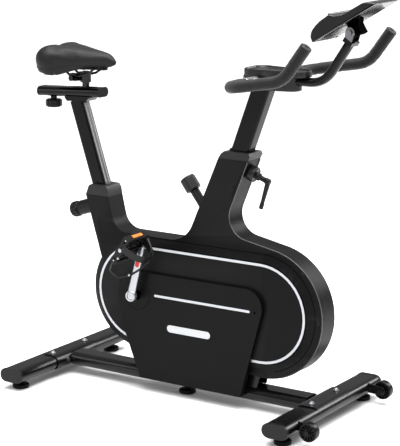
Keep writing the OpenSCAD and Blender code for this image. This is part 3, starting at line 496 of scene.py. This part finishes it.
# ------------------------------------------------------------------ handlebar, grips, mast
gy = 240
half = ([Vector((745, 0, 955)), Vector((745, 128, 955))] + bend((745, 128, 955), (756, gy, 957), (900, gy, 982), 58)
        + bend((756, gy, 957), (934, gy, 988), (1004, gy, 1083), 34) + [Vector((1002.6, gy, 1081.1))])
half = spline(half, 7)
flip = lambda pts: [Vector((p[0], -p[1], p[2])) for p in pts]
whole = flip(half[::-1]) + half[1:]
V, F = tube_data(mm(whole), 13.95, 32)
from_faces("bar_tube", V, F, "post", "handlebar", repl=("handlebar",))
parts = []
tips = []
for s in (-1, 1):
    k = next(i for i, q in enumerate(half) if abs(q.y) > 131)
    pth = [Vector((q.x, s * q.y, q.z)) for q in half[k:]]
    d = (pth[-1] - pth[-2]).normalized()
    pth = pth[:-1] + [pth[-1] - d * 1.5, pth[-1] + d * 0.5]
    V, F = tube_data(mm(pth), 16.3, 40, ends=2.6,
                     mod=lambda t, L: 16.35 - (1.1 if t < 2 else 0) - (0.7 if (t % 26) > 24.2 and t < L - 20 else 0))
    from_faces("grip_" + ("right" if s < 0 else "left"), V, F, "foam", "handlebar", repl=("handlebar_grips",) if s < 0 else ())
    tip = pth[-1] + d * 2.0
    tips.append((P(*tip), d))
V, F = merge([lathe_data(soften([(0, 0), (6.0, 0), (6.2, 0.6), (4.4, 1.1), (0, 1.3)], 0.3), t, d, 32) for t, d in tips])
from_faces("grip_end_plugs", V, F, "cap", "handlebar")
mast = [Vector((792, 0, 955))] + bend((792, 0, 955), (925, 0, 955), (1010, 0, 1082), 44) + [Vector((1009, 0, 1080.5))]
V, F = tube_data(mm(spline(mast, 7)), 12.45, 44, ry=18.95)
from_faces("mast_tube", V, F, "post", "handlebar", repl=("console_mast",))

# ------------------------------------------------------------------ crank arms
def crank_arm(side):
    s = -1 if side == "right" else 1
    lean = rad(14.5)
    d = Vector((math.sin(lean), 0, math.cos(lean))) * (1 if s < 0 else -1)
    g = Vector((d.z, 0, -d.x))
    c = P(339, 0, 295)
    V, F = [], []
    rings = []
    n = 28
    for i in range(31):                      # forged arm: a superellipse section along its length
        t = i / 30
        l = -13.5 + t * (170 + 13.5 + 10.5)
        w = 13.0 - 3.6 * t
        end = min(l + 15.5, 170 + 12.5 - l)
        w *= math.sqrt(max(0.02, 1 - max(0, 1 - max(end, 0.02) / 15.0) ** 2))
        h = 6.1 - 1.0 * math.sin(math.pi * t) * 0.7
        mid = 87.2
        ring = []
        for k in range(n):
            th = 2 * math.pi * k / n
            cx, cy = math.cos(th), math.sin(th)
            q = 2.9
            x = math.copysign(abs(cx) ** (2 / q), cx) * w
            y = math.copysign(abs(cy) ** (2 / q), cy) * h
            ring.append(len(V))
            V.append(c + (d * l + g * x) / 1000 + Vector((0, s * (mid + y) / 1000, 0)))
        rings.append(ring)
    for A, B in zip(rings, rings[1:]):
        for k in range(n):
            F.append((A[k], A[(k + 1) % n], B[(k + 1) % n], B[k]))
    F.append(tuple(rings[0][::-1]))
    F.append(tuple(rings[-1]))
    ax = Vector((0, s, 0))
    boss = lathe_data(soften([(8.6, 79.2), (16, 79.2), (16.9, 81), (16.9, 92), (15.4, 94.6), (12, 95), (11, 93.4), (10.6, 91.4), (8.6, 91.2)], 0.8), c, ax, 56, None, True)
    e = c + d * 0.170
    eye = lathe_data(soften([(6.1, 82.2), (12.4, 82.2), (13.3, 84), (13.3, 93), (12.2, 94.8), (6.1, 94.8)], 0.8), e, ax, 48, None, True)
    V, F = merge([(V, F), boss, eye])
    from_faces("crank_arm_" + side + "_forged", V, F, "crank", "crank", repl=("crank_arm_" + side,))
    bolt = lathe_data(soften([(0, 84.5), (6.4, 84.5), (8.2, 86), (8.2, 90.6), (6.8, 91.4), (5.2, 91.4), (5.0, 88.4), (0, 88.4)], 0.5), c, ax, 48,
                      lambda r, t, th: r if r > 5.4 or r < 1 else r * (0.86 + 0.14 * abs(math.cos(3 * th))))
    from_faces("crank_bolt_" + side, *bolt, "groove", "crank")
    q = lambda p, w, h: c + (d * (112 + p) + g * w) / 1000 + Vector((0, s * h / 1000, 0))
    from_faces("crank_inlay_" + side, *prism_data([slot_line(36, 13.5)], q, 91.2, 93.0), "red", "crank", bevel=0.6)


crank_arm("right")
crank_arm("left")


# ------------------------------------------------------------------ pedals
def pedal(side):
    s = -1 if side == "right" else 1
    lean = rad(14.5)
    k = 1 if s < 0 else -1
    tip = Vector((339 + k * 170 * math.sin(lean), 0, 295 + k * 170 * math.cos(lean)))
    a = rad(-55)
    ex, ez = Vector((math.cos(a), 0, -math.sin(a))), Vector((math.sin(a), 0, math.cos(a)))
    o = P(*tip)
    f = lambda x, y, z: o + (ex * x + ez * z) / 1000 + Vector((0, -s * y / 1000 * -1 if False else (y if s < 0 else -y) / 1000, 0))
    body = "pedal_" + side
    parts = []
    xz = lambda x, z, y: f(x, y, z)
    # barrel, bored for the spindle
    ax = f(0, -1, 0) - f(0, 0, 0)
    parts.append(lathe_data(soften([(6.2, 102.3), (10.5, 102.3), (12.3, 104), (11.2, 112), (10.2, 124), (10.2, 180), (11.4, 192), (12.3, 200), (11, 201.8), (6.4, 201.8), (6.4, 199.3), (6.2, 199.2)], 0.8), o, ax, 40, None, True))
    # end plates: bow-tie outline with a waist, run in y
    def plate(y0, y1):
        top = [(-46, 4), (-46, 9.5), (-43.5, 11), (-34, 11), (-20, 9.0), (-12, 10.6), (0, 11), (12, 10.6), (20, 9.0), (34, 11), (43.5, 11), (46, 9.5), (46, 4)]
        lp = top[::-1] + [(x, -z) for x, z in top]
        lp = [(x, z) for x, z in lp]
        holes = [[(h + 5.2 * math.cos(t), 4.2 * math.sin(t)) for t in np.linspace(0, 2 * math.pi, 20, endpoint=False)] for h in (-31, 31)]
        hub = [(6.3 * math.cos(t), 6.3 * math.sin(t)) for t in np.linspace(0, 2 * math.pi, 28, endpoint=False)]
        return prism_data([lp, hub] + holes, xz, y0, y1)
    parts.append(plate(-108, -102.4))
    parts.append(plate(-201.6, -196))
    # toothed long bars front and rear, run in x
    for sx in (-1, 1):
        lp = []
        y = -201.5
        teeth = 12
        st = 99.0 / teeth
        for i in range(teeth):
            y0 = y + i * st
            lp += [(y0, 7.2), (y0 + st * 0.22, 10.8), (y0 + st * 0.52, 10.8), (y0 + st * 0.74, 7.2)]
        lp += [(y + 99.0, 7.2)]
        low = [(p, -q) for p, q in lp[::-1]]
        yz = lambda p, q, x: f(x, p, q)
        parts.append(prism_data([lp + low], yz, sx * 38.3, sx * 45.7))
    # inner cross bars and a middle rib
    for x in (-23, 23):
        parts.append(prism_data([rrect(7.2, 15, 1.2, 3)], lambda p, q, y, x=x: f(x + p, y, q), -201, -103))
    for y in (-129, -155, -179):
        for x0, x1 in ((-39, -10), (10, 39)):
            parts.append(prism_data([rrect(5.2, 13, 1.0, 3)], lambda p, q, x, y=y: f(x, y + p, q), x0, x1))
    V, F = merge(parts)
    from_faces("pedal_cage_" + side, V, F, "pedal", body, repl=("pedal_" + side,), bevel=0.5, segs=2)
    refl = []
    for sx in (-1, 1):
        refl.append(prism_data([rrect(46, 10.6, 1.6, 4)], lambda p, q, x, sx=sx: f(sx * x, -152 + p, q), 45.9, 48.2))
        refl.append(prism_data([rrect(40, 7.2, 1.2, 4)], lambda p, q, x, sx=sx: f(sx * x, -152 + p, q), 48.0, 48.45))
    V, F = merge(refl)
    from_faces("pedal_reflectors_" + side, V, F, "orange", body, bevel=0.4, segs=2)
    # small steel screws and the spindle's dust cap
    bits = []
    for x in (-38, 38):
        bits.append(lathe_data([(0, 201.4), (2.6, 201.4), (2.4, 202.0), (0, 202.0)], f(x, 0, 0), ax, 20))
    bits.append(lathe_data(soften([(0, 199.2), (6.2, 199.2), (6.2, 201.2), (4.6, 201.9), (0, 201.9)], 0.4), o, ax, 32))
    V, F = merge(bits)
    from_faces("pedal_screws_" + side, V, F, "bolt", body)
    # strap: a thin band with rounded edges, arched over the sole side
    n = 44
    band = []
    for i in range(n + 1):
        t = math.pi * i / n
        y, z = -152 - 52.2 * math.cos(t), -8 - 60.2 * math.sin(t)
        band.append((y, z))
    V, F = [], []
    sec = rrect(21.4, 2.1, 0.9, 3)
    for i, (y, z) in enumerate(band):
        a0, a1 = band[max(0, i - 1)], band[min(n, i + 1)]
        d = Vector((a1[0] - a0[0], a1[1] - a0[1])).normalized()
        nn = Vector((-d.y, d.x))
        for x, h in sec:
            V.append(f(14 + x, y + nn.x * h, z + nn.y * h))
    m = len(sec)
    for i in range(n):
        for k2 in range(m):
            k3 = (k2 + 1) % m
            F.append((i * m + k2, i * m + k3, (i + 1) * m + k3, (i + 1) * m + k2))
    F.append(tuple(range(m)))
    F.append(tuple(n * m + q for q in range(m)))
    rr = []
    for i in range(9, n - 8, 2):              # raised adjusting ribs on the outer side
        y, z = band[i]
        a0, a1 = band[i - 1], band[i + 1]
        d = Vector((a1[0] - a0[0], a1[1] - a0[1])).normalized()
        nn = Vector((-d.y, d.x))
        if nn.dot(Vector((y + 152, z + 8))) < 0:
            nn = -nn
        rr.append(prism_data([rrect(1.8, 0.9, 0.35, 2)], lambda p, q, x, y=y, z=z, d=d, nn=nn: f(14 + x, y + d.x * p + nn.x * (1.25 + q), z + d.y * p + nn.y * (1.25 + q)), -5, 5))
    V, F = merge([(V, F)] + rr)
    from_faces("pedal_band_" + side, V, F, "strap", body, repl=("pedal_strap_" + side,), bevel=0.25, segs=2)


def strap_loop(side):
    # the strap's long loop, from the inner plate round below the pedal to the outer plate
    s = -1 if side == "right" else 1
    lean = rad(14.5)
    k = 1 if s < 0 else -1
    tip = Vector((339 + k * 170 * math.sin(lean), 0, 295 + k * 170 * math.cos(lean)))
    a = rad(-55)
    ex, ez = Vector((math.cos(a), 0, -math.sin(a))), Vector((math.sin(a), 0, math.cos(a)))
    o = P(*tip)
    f = lambda x, y, z: o + (ex * x + ez * z) / 1000 + Vector((0, (y if s < 0 else -y) / 1000, 0))
    pts = [(31, -105, 4), (38, -112, -18), (28, -123, -51), (2, -135, -66), (-36, -146, -60), (-64, -158, -50),
           (-90, -169, -28), (-84, -181, 0), (-56, -192, 2), (-24, -199, -8)]
    V, F = tube_data([f(*q) for q in spline(pts, 8)], 2.3, 14, ends=1.8, ry=3.4)
    from_faces("strap_loop_" + side, V, F, "strap", "pedal_" + side)
    V, F = merge([lathe_data([(0, -2.2), (3.4, -2.2), (3.8, 0), (3.4, 2.2), (0, 2.2)], f(*q), f(0, -1, 0) - f(0, 0, 0), 20)
                  for q in ((-24, -200, -8), (-40, -199, 6), (12, -200, -9), (-64, -160, -48))])
    from_faces("strap_studs_" + side, V, F, "bolt", "pedal_" + side)


pedal("right")
pedal("left")
strap_loop("right")
strap_loop("left")

# ------------------------------------------------------------------ handlebar cover: tray with a rounded lip over a tapering body
tray = arc((846, 0), 36, -60, 60, 14) + arc((716, 22), 28, 80, 180, 8) + arc((716, -22), 28, 180, 280, 8)


def grow(p, d):
    n = len(p)
    out = []
    for i in range(n):
        a, b, c = Vector(p[i - 1]), Vector(p[i]), Vector(p[(i + 1) % n])
        u, v = (b - a).normalized(), (c - b).normalized()
        m = Vector((u.y + v.y, -u.x - v.x)).normalized()
        k = m.dot(Vector((u.y, -u.x)))
        out.append(tuple(b + m * d / k))
    return out


def stack(name, rings, mat, body, cap0=True, cap1=True, **kw):
    V, F = [], []
    n = len(rings[0])
    for r in rings:
        V += r
    for i in range(len(rings) - 1):
        for k in range(n):
            k2 = (k + 1) % n
            F.append((i * n + k, i * n + k2, (i + 1) * n + k2, (i + 1) * n + k))
    if cap0:
        F.append(tuple(range(n - 1, -1, -1)))
    if cap1:
        F.append(tuple((len(rings) - 1) * n + k for k in range(n)))
    return from_faces(name, V, F, mat, body, **kw)


def ray_to(outline, c, n=72):
    """outline sampled at n even angles from c"""
    out = []
    for k in range(n):
        th = 2 * math.pi * k / n
        dx, dy = math.cos(th), math.sin(th)
        best = 0
        for i in range(len(outline)):
            (ax, ay), (bx, by) = outline[i - 1], outline[i]
            ex, ey = bx - ax, by - ay
            den = dx * ey - dy * ex
            if abs(den) < 1e-9:
                continue
            t = ((ax - c[0]) * ey - (ay - c[1]) * ex) / den
            u = ((ax - c[0]) * dy - (ay - c[1]) * dx) / den
            if t > 0 and -1e-6 <= u <= 1 + 1e-6:
                best = max(best, t)
        out.append((c[0] + dx * best, c[1] + dy * best))
    return out


tc = (775, 0)
T = ray_to(tray, tc, 120)
low = ray_to(arc((698, -39), 6, 180, 270, 4) + [(752, -45)] + arc((820, 0), 31, -62, 62, 16) + [(752, 45)] + arc((698, 39), 6, 90, 180, 4), tc, 120)
def blend_ring(A, B, t):
    return [((1 - t) * a[0] + t * b[0], (1 - t) * a[1] + t * b[1]) for a, b in zip(A, B)]
def inset(A, k):
    return [(tc[0] + (x - tc[0]) * k, tc[1] + (y - tc[1]) * k) for x, y in A]
rings = []
for z, ring in ((928.2, inset(low, 0.94)), (928.6, inset(low, 0.985)), (930.5, low), (945, low), (962, low), (965.5, blend_ring(low, T, 0.10)),
                (967.4, blend_ring(low, T, 0.45)), (968.0, blend_ring(low, T, 0.90)), (969.6, T), (975, T), (981.5, T), (984.4, inset(T, 0.992)), (985.8, inset(T, 0.975)),
                (985.6, inset(T, 0.955)), (983.8, inset(T, 0.94)), (981.4, inset(T, 0.93)), (980.2, inset(T, 0.90)), (980.0, inset(T, 0.4)), (980.0, inset(T, 0.05))):
    rings.append([P(x, y, z) for x, y in ring])
stack("bar_cover", rings, "cover", "handlebar", repl=("handlebar_cover",))

# ------------------------------------------------------------------ console
con = [(922, 1071), (1110, 1184), (1098, 1187), (1079, 1187.5), (1066, 1183), (1036, 1165.5), (1015, 1152.5), (985, 1147), (970, 1150), (961, 1143), (942, 1130), (928, 1116), (919, 1104), (915, 1088)]
W2, H2 = 68.0, 1


def smooth_loop(p, r=4, n=3):
    out = []
    m = len(p)
    for i in range(m):
        a, b, c = Vector(p[i - 1]), Vector(p[i]), Vector(p[(i + 1) % m])
        k = min(r, (a - b).length * 0.45, (c - b).length * 0.45)
        s, e = b + (a - b).normalized() * k, b + (c - b).normalized() * k
        for j in range(n + 1):
            t = j / n
            out.append(tuple(s * (1 - t) ** 2 + b * 2 * t * (1 - t) + e * t * t))
    return out


cl = smooth_loop(con, 5, 3)
cg = lambda d: grow(cl, d)
fl = 7.0
rings = []
ys = [(-W2 + fl * (1 - math.cos(rad(a))), -fl * (1 - math.sin(rad(a))) * 0.55) for a in (0, 22, 45, 68, 90)]
for y, d in ys:
    rings.append([P(x, y, z) for x, z in grow(cl, d)])
for y, d in ys[::-1]:
    rings.append([P(x, -y, z) for x, z in grow(cl, d)])
housing = stack("console_shell", rings, "console", "console", repl=("console_housing",))
xz3 = lambda x, z, y: P(x, y, z)
under = lambda t, d: (922 + 0.8571 * t + 0.5152 * d, 1071 + 0.5152 * t - 0.8571 * d)
ds = [prism_data([[(1000, 1120)] + arc((1010, 1100), 13, 150, 330, 16) + [(1030, 1104), (1034, 1140)]], xz3, -15.4, 15.4),
      prism_data([[under(*q) for q in ((106, -1.5), (120, -1.5), (120, 38), (106, 38))][::-1]], xz3, -19.9, 19.9)]
V, F = merge(ds)
from_faces("console_socket", V, F, "groove", "console", bevel=1.6, segs=3)
# battery door, raised a little from the underside, with its catch and four screws
fr = lambda t, y, d: P(under(t, d)[0], y, under(t, d)[1])
ds = [prism_data([rrect(66, 84, 5, 5)], lambda p, q, d: fr(58 + p, q, d), -0.5, 0.9), prism_data([rrect(8, 26, 2, 3)], lambda p, q, d: fr(30 + p, q, d), 0.5, 1.9)]
for t in (12, 176):
    for y in (-52, 52):
        ds.append(lathe_data(soften([(0, -0.4), (3.6, -0.4), (3.6, 0.7), (2.8, 1.1), (0, 0.6)], 0.3), fr(t, y, 0), fr(0, 0, 1) - fr(0, 0, 0), 20))
V, F = merge(ds)
from_faces("console_door", V, F, "console", "console", bevel=0.3, segs=2)
# a rolled shelf lip that holds a phone or tablet above the display
V, F = tube_data(mm(spline([(968, -60, 1149.2), (968, 60, 1149.2)], 10)), 2.6, 20, ends=2.4)
from_faces("console_shelf", V, F, "console", "console")
# display window and its button, let into the sloping face
fa = rad(35.2)
face = lambda a, y, d: P(950.5 + a * math.cos(fa) - d * math.sin(fa), y, 1135.8 + a * math.sin(fa) + d * math.cos(fa))
from_faces("display_window", *prism_data([rrect(20, 82, 3, 5)], lambda p, q, d: face(p, q, d), -1.0, 0.7), "screen", "console", bevel=0.3, segs=2, repl=("console_screen",))
from_faces("display_rim", *prism_data([rrect(23, 85, 4.2, 5), rrect(20.2, 82.2, 3.1, 5)], lambda p, q, d: face(p, q, d), -1.0, 1.0), "cover", "console", bevel=0.25, segs=2)
lathe("mode_button", [(0, -1), (5.6, -1), (5.8, 1.2), (5.0, 2.2), (2, 2.6), (0, 2.6)], face(0, 54, 0), face(0, 0, 1) - face(0, 0, 0), "button", "console_button", n=40, repl=("console_button",))

# ------------------------------------------------------------------ saddle cushion
def cushion():
    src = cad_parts["saddle_cushion"]
    me = src.data.copy()
    me.name = "saddle_pad"
    bm = bmesh.new()
    bm.from_mesh(me)
    bmesh.ops.remove_doubles(bm, verts=bm.verts, dist=2e-5)
    bm.to_mesh(me)
    bm.free()
    me.materials.clear()
    o = bpy.data.objects.new("saddle_pad", me)
    bpy.context.scene.collection.objects.link(o)
    dg = bpy.context.evaluated_depsgraph_get

    def bake():
        bpy.context.view_layer.update()
        ev = o.evaluated_get(dg())
        new = bpy.data.meshes.new_from_object(ev)
        o.modifiers.clear()
        o.data = new
    rm = o.modifiers.new("remesh", "REMESH")
    rm.mode = "VOXEL"
    rm.voxel_size = 0.005
    bake()
    n = len(o.data.vertices)
    co = np.zeros(n * 3)
    o.data.vertices.foreach_get("co", co)
    co = co.reshape(-1, 3)
    nor = np.array([v.normal for v in o.data.vertices], float)
    co -= nor * 0.0022
    o.data.vertices.foreach_set("co", co.ravel())
    o.data.update()
    rest = co.copy()
    sc = bpy.context.scene
    cm = o.modifiers.new("cloth", "CLOTH")
    st = cm.settings
    st.quality = 5
    st.use_pressure = True
    st.uniform_pressure_force = 4.0
    st.effector_weights.gravity = 0.0
    st.tension_stiffness = st.compression_stiffness = 25
    st.bending_stiffness = 2.0
    cm.collision_settings.use_collision = False
    for f in range(1, 15):
        sc.frame_set(f)
    ev = o.evaluated_get(dg())
    got = np.zeros(n * 3)
    ev.data.vertices.foreach_get("co", got)
    got = got.reshape(-1, 3)
    o.modifiers.clear()
    sc.frame_set(1)
    d = got - rest
    L = np.linalg.norm(d, axis=1, keepdims=True)
    co = rest + d * np.minimum(1, 0.003 / np.maximum(L, 1e-9))
    # the flat underside stays on the shell; the sitting side is pressed in along its middle
    x = co[:, 0] * 1000 + X0
    y = co[:, 1] * 1000
    z = co[:, 2] * 1000
    mid = np.exp(-(y / 15.0) ** 2) * np.clip((x + 30) / 25, 0, 1) * np.clip((175 - x) / 60, 0, 1)
    top = np.clip((z - 966) / 18, 0, 1)
    z = z - 9.5 * mid * top
    # the skirt runs up gently behind the lobes
    ay = np.abs(y)
    z = z - 19.0 * np.clip((x - 56) / 4, 0, 1) * np.clip((z - 928) / 9, 0, 1) * np.clip(1 - (x - 60) / 66, 0, 1) ** 1.3 * np.clip((ay - 37) / 9, 0, 1) * np.clip((958 - z) / 16, 0, 1)
    # wings pulled in towards the nose
    w = np.exp(-((x - 118) / 34.0) ** 2)
    y = y * (1 - 0.06 * w)
    bl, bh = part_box("saddle_cushion")
    co = np.stack([np.clip((x - X0) / 1000, bl.x - 0.002, bh.x + 0.002), np.clip(y / 1000, bl.y - 0.002, bh.y + 0.002), np.clip(z / 1000, bl.z, bh.z + 0.002)], 1)
    o.data.vertices.foreach_set("co", co.ravel())
    o.data.update()
    sm = o.modifiers.new("smooth", "SMOOTH")
    sm.factor = 0.5
    sm.iterations = 8
    ss = o.modifiers.new("sub", "SUBSURF")
    ss.levels = ss.render_levels = 1
    bake()
    for p in o.data.polygons:
        p.use_smooth = True
    o.data.materials.clear()
    o.data.materials.append(M["vinyl"])
    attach(o, "saddle")
    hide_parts("saddle_cushion")
    # welt along the lower edge of the skin, laid on the cushion's own surface
    tree = BVHTree.FromPolygons([v.co.copy() for v in o.data.vertices], [tuple(p.vertices) for p in o.data.polygons])
    cx = P(92, 0, 0).x
    pts = []
    for k in range(150):
        th = 2 * math.pi * k / 150
        d = Vector((math.cos(th), math.sin(th), 0))
        xr = 92 + 115 * math.cos(th)
        zz = (937.5 if xr < 40 else 937.5 + 10.5 * min(1, (xr - 40) / 60)) + 4
        hit = tree.ray_cast(Vector((cx, 0, zz / 1000)) + d * 0.3, -d)
        if hit[0] is not None:
            pts.append(hit[0] + d * 0.0001)
    pts.append(pts[0])
    pts = [sum((pts[(i + j) % (len(pts) - 1)] for j in (-1, 0, 1)), Vector()) / 3 for i in range(len(pts) - 1)]
    pts.append(pts[0].copy())
    V, F = tube_data(pts, 1.3, 10)
    from_faces("saddle_welt", V, F, "vinyl", "saddle")


cushion()

# ------------------------------------------------------------------ small details
# two lines on the front of the seat post, a lighter silver than its paint: a painted highlight for the reflection lines
# on its rounded front
for i, (y0, y1) in enumerate(((-9.5, -5.0), (5.0, 9.5))):
    V, F = prism_data([rrect(y1 - y0, 238, 1.2, 3)], lambda p, q, u, y0=y0, y1=y1: seat_f(u, (y0 + y1) / 2 + p, 150 + q), 22.7, 23.015)
    from_faces(f"post_line_{i}", V, F, "line", "seat")
# rounded lips along the casing's front edges, coloured a lighter glossy grey than the casing as a painted highlight
# line on those edges, and the seam lines round the belt guard
for s, side in ((-1, "right"), (1, "left")):
    highlight_lip = [(703.4, 720)] + arc((708, 561), 64.3, 158.2, 259.2, 30) + arc((760, 293), 189.2, 79.2, -70, 90)
    V, F = tube_data([P(x, s * 34.3, z) for x, z in highlight_lip], 1.5, 14, ends=1.2)
    from_faces("casing_highlight_lip_" + side, V, F, "highlight_lip", "frame")
    seam = arc((756, 294), 171.0, 90, -75, 60)
    V, F = tube_data([P(340, s * 35.0, 465)] + [P(x, s * 35.0, z) for x, z in seam], 0.8, 8)
    from_faces("guard_seam_" + side, V, F, "groove", "frame")
    seam = arc((756, 294), 148.4, 90, -75, 60)
    V, F = tube_data([P(340, s * 46.7, 442.4)] + [P(x, s * 46.7, z) for x, z in seam], 0.7, 8)
    from_faces("guard_line_" + side, V, F, "groove", "frame")
# plain blank plates on the lower panels, and a small blind plug at the end of the short line
for s, side in ((-1, "right"), (1, "left")):
    fx = lambda p, q, h, s=s: P(522 + p, s * h, 207 + q)
    from_faces("blank_plate_" + side, *prism_data([slot_line(150, 22)], fx, 59.9, 60.7), "plate", "frame", bevel=0.3, segs=2)
    from_faces("blank_plate_rim_" + side, *prism_data([slot_line(156, 28), slot_line(151, 23)], fx, 59.9, 60.55), "panel", "frame", bevel=0.2, segs=2)
    lathe("blind_plug_" + side, [(0, 59.8), (3.4, 59.8), (3.4, 60.4), (2.4, 60.7), (0, 60.3)], P(745.5, 0, 299), (0, s, 0), "groove", "frame", n=28, round_r=0.2)
# hex sockets of the frame bolts and their washers
parts = []
for x, y in ((39, -80), (39, 80), (940, -71), (940, 71)):
    parts.append(lathe_data(soften([(0, 75.2), (2.9, 75.2), (3.0, 75.9), (4.2, 76.0), (5.2, 75.4), (5.6, 74.0), (0, 74.0)], 0.3), P(x, y, 0), (0, 0, 1), 36))
V, F = merge(parts)
from_faces("bolt_sockets", V, F, "bolt", "frame")

# ------------------------------------------------------------------ floor, light, camera
fl = bpy.data.meshes.new("floor")
fl.from_pydata([(-300, -300, 0), (300, -300, 0), (300, 300, 0), (-300, 300, 0)], [], [(0, 1, 2, 3)])
floor = bpy.data.objects.new("floor", fl)
bpy.context.scene.collection.objects.link(floor)
fl.materials.append(material("floor_white", (0.86, 0.86, 0.86), 0.9, spec=0.1, var=0.01, grain=(40, 0.0002)))

world = bpy.data.worlds.new("studio")
bpy.context.scene.world = world
world.use_nodes = True
wn = world.node_tree
bg = wn.nodes["Background"]
tcw = wn.nodes.new("ShaderNodeTexCoord")
sep = wn.nodes.new("ShaderNodeSeparateXYZ")
wn.links.new(tcw.outputs["Generated"], sep.inputs[0])
rampw = wn.nodes.new("ShaderNodeValToRGB")
rampw.color_ramp.elements[0].position = 0.0
rampw.color_ramp.elements[0].color = (0.60, 0.60, 0.61, 1)
rampw.color_ramp.elements[1].position = 0.85
rampw.color_ramp.elements[1].color = (1.0, 1.0, 1.0, 1)
wn.links.new(sep.outputs["Z"], rampw.inputs[0])
wn.links.new(rampw.outputs[0], bg.inputs["Color"])
bg.inputs["Strength"].default_value = 0.6


def area(name, loc, target, size, power, shape="RECTANGLE", size_y=None):
    ld = bpy.data.lights.new(name, "AREA")
    ld.shape = shape
    ld.size = size
    ld.size_y = size_y or size
    ld.energy = power
    o = bpy.data.objects.new(name, ld)
    bpy.context.scene.collection.objects.link(o)
    o.location = loc
    o.rotation_euler = (Vector(target) - Vector(loc)).to_track_quat("-Z", "Y").to_euler()
    return o


area("top_box", (0.0, 0.3, 3.2), (0, 0, 0.5), 2.6, 120, size_y=2.2)
area("left_box", (-2.6, -2.2, 1.7), (0, 0, 0.6), 0.6, 18, size_y=2.2)
area("front_box", (0.45, -3.4, 2.0), (0.1, 0, 0.5), 0.7, 26)
area("rim_box", (1.6, 3.1, 2.2), (0, 0, 0.6), 1.0, 60, size_y=2.2)
area("right_box", (3.0, -0.6, 1.9), (0, 0, 0.6), 0.7, 15, size_y=2.2)
sun = bpy.data.lights.new("sky", "SUN")
sun.energy = 3.0
sun.angle = rad(50)
so = bpy.data.objects.new("sky", sun)
so.rotation_euler = (rad(18), rad(12), 0)
bpy.context.scene.collection.objects.link(so)

az, el, D = rad(33.12), rad(12.51), 4925.01
back = Vector((math.sin(az) * math.cos(el), -math.cos(az) * math.cos(el), math.sin(el)))
cam_d = bpy.data.cameras.new("camera")
cam = bpy.data.objects.new("camera", cam_d)
bpy.context.scene.collection.objects.link(cam)
cam.location = P(523.07, 0, 520.03) + back * D / 1000
cam.rotation_euler = back.to_track_quat("Z", "Y").to_euler()
cam_d.sensor_width = 36
cam_d.lens = 1706.05 / 446 * 36
cam_d.clip_end = 2000
cam_d.dof.use_dof = False
bpy.context.scene.camera = cam
vs = bpy.context.scene.view_settings
vs.view_transform = "Standard"
vs.look = "None"
vs.exposure = 0.0
vs.gamma = 0.84
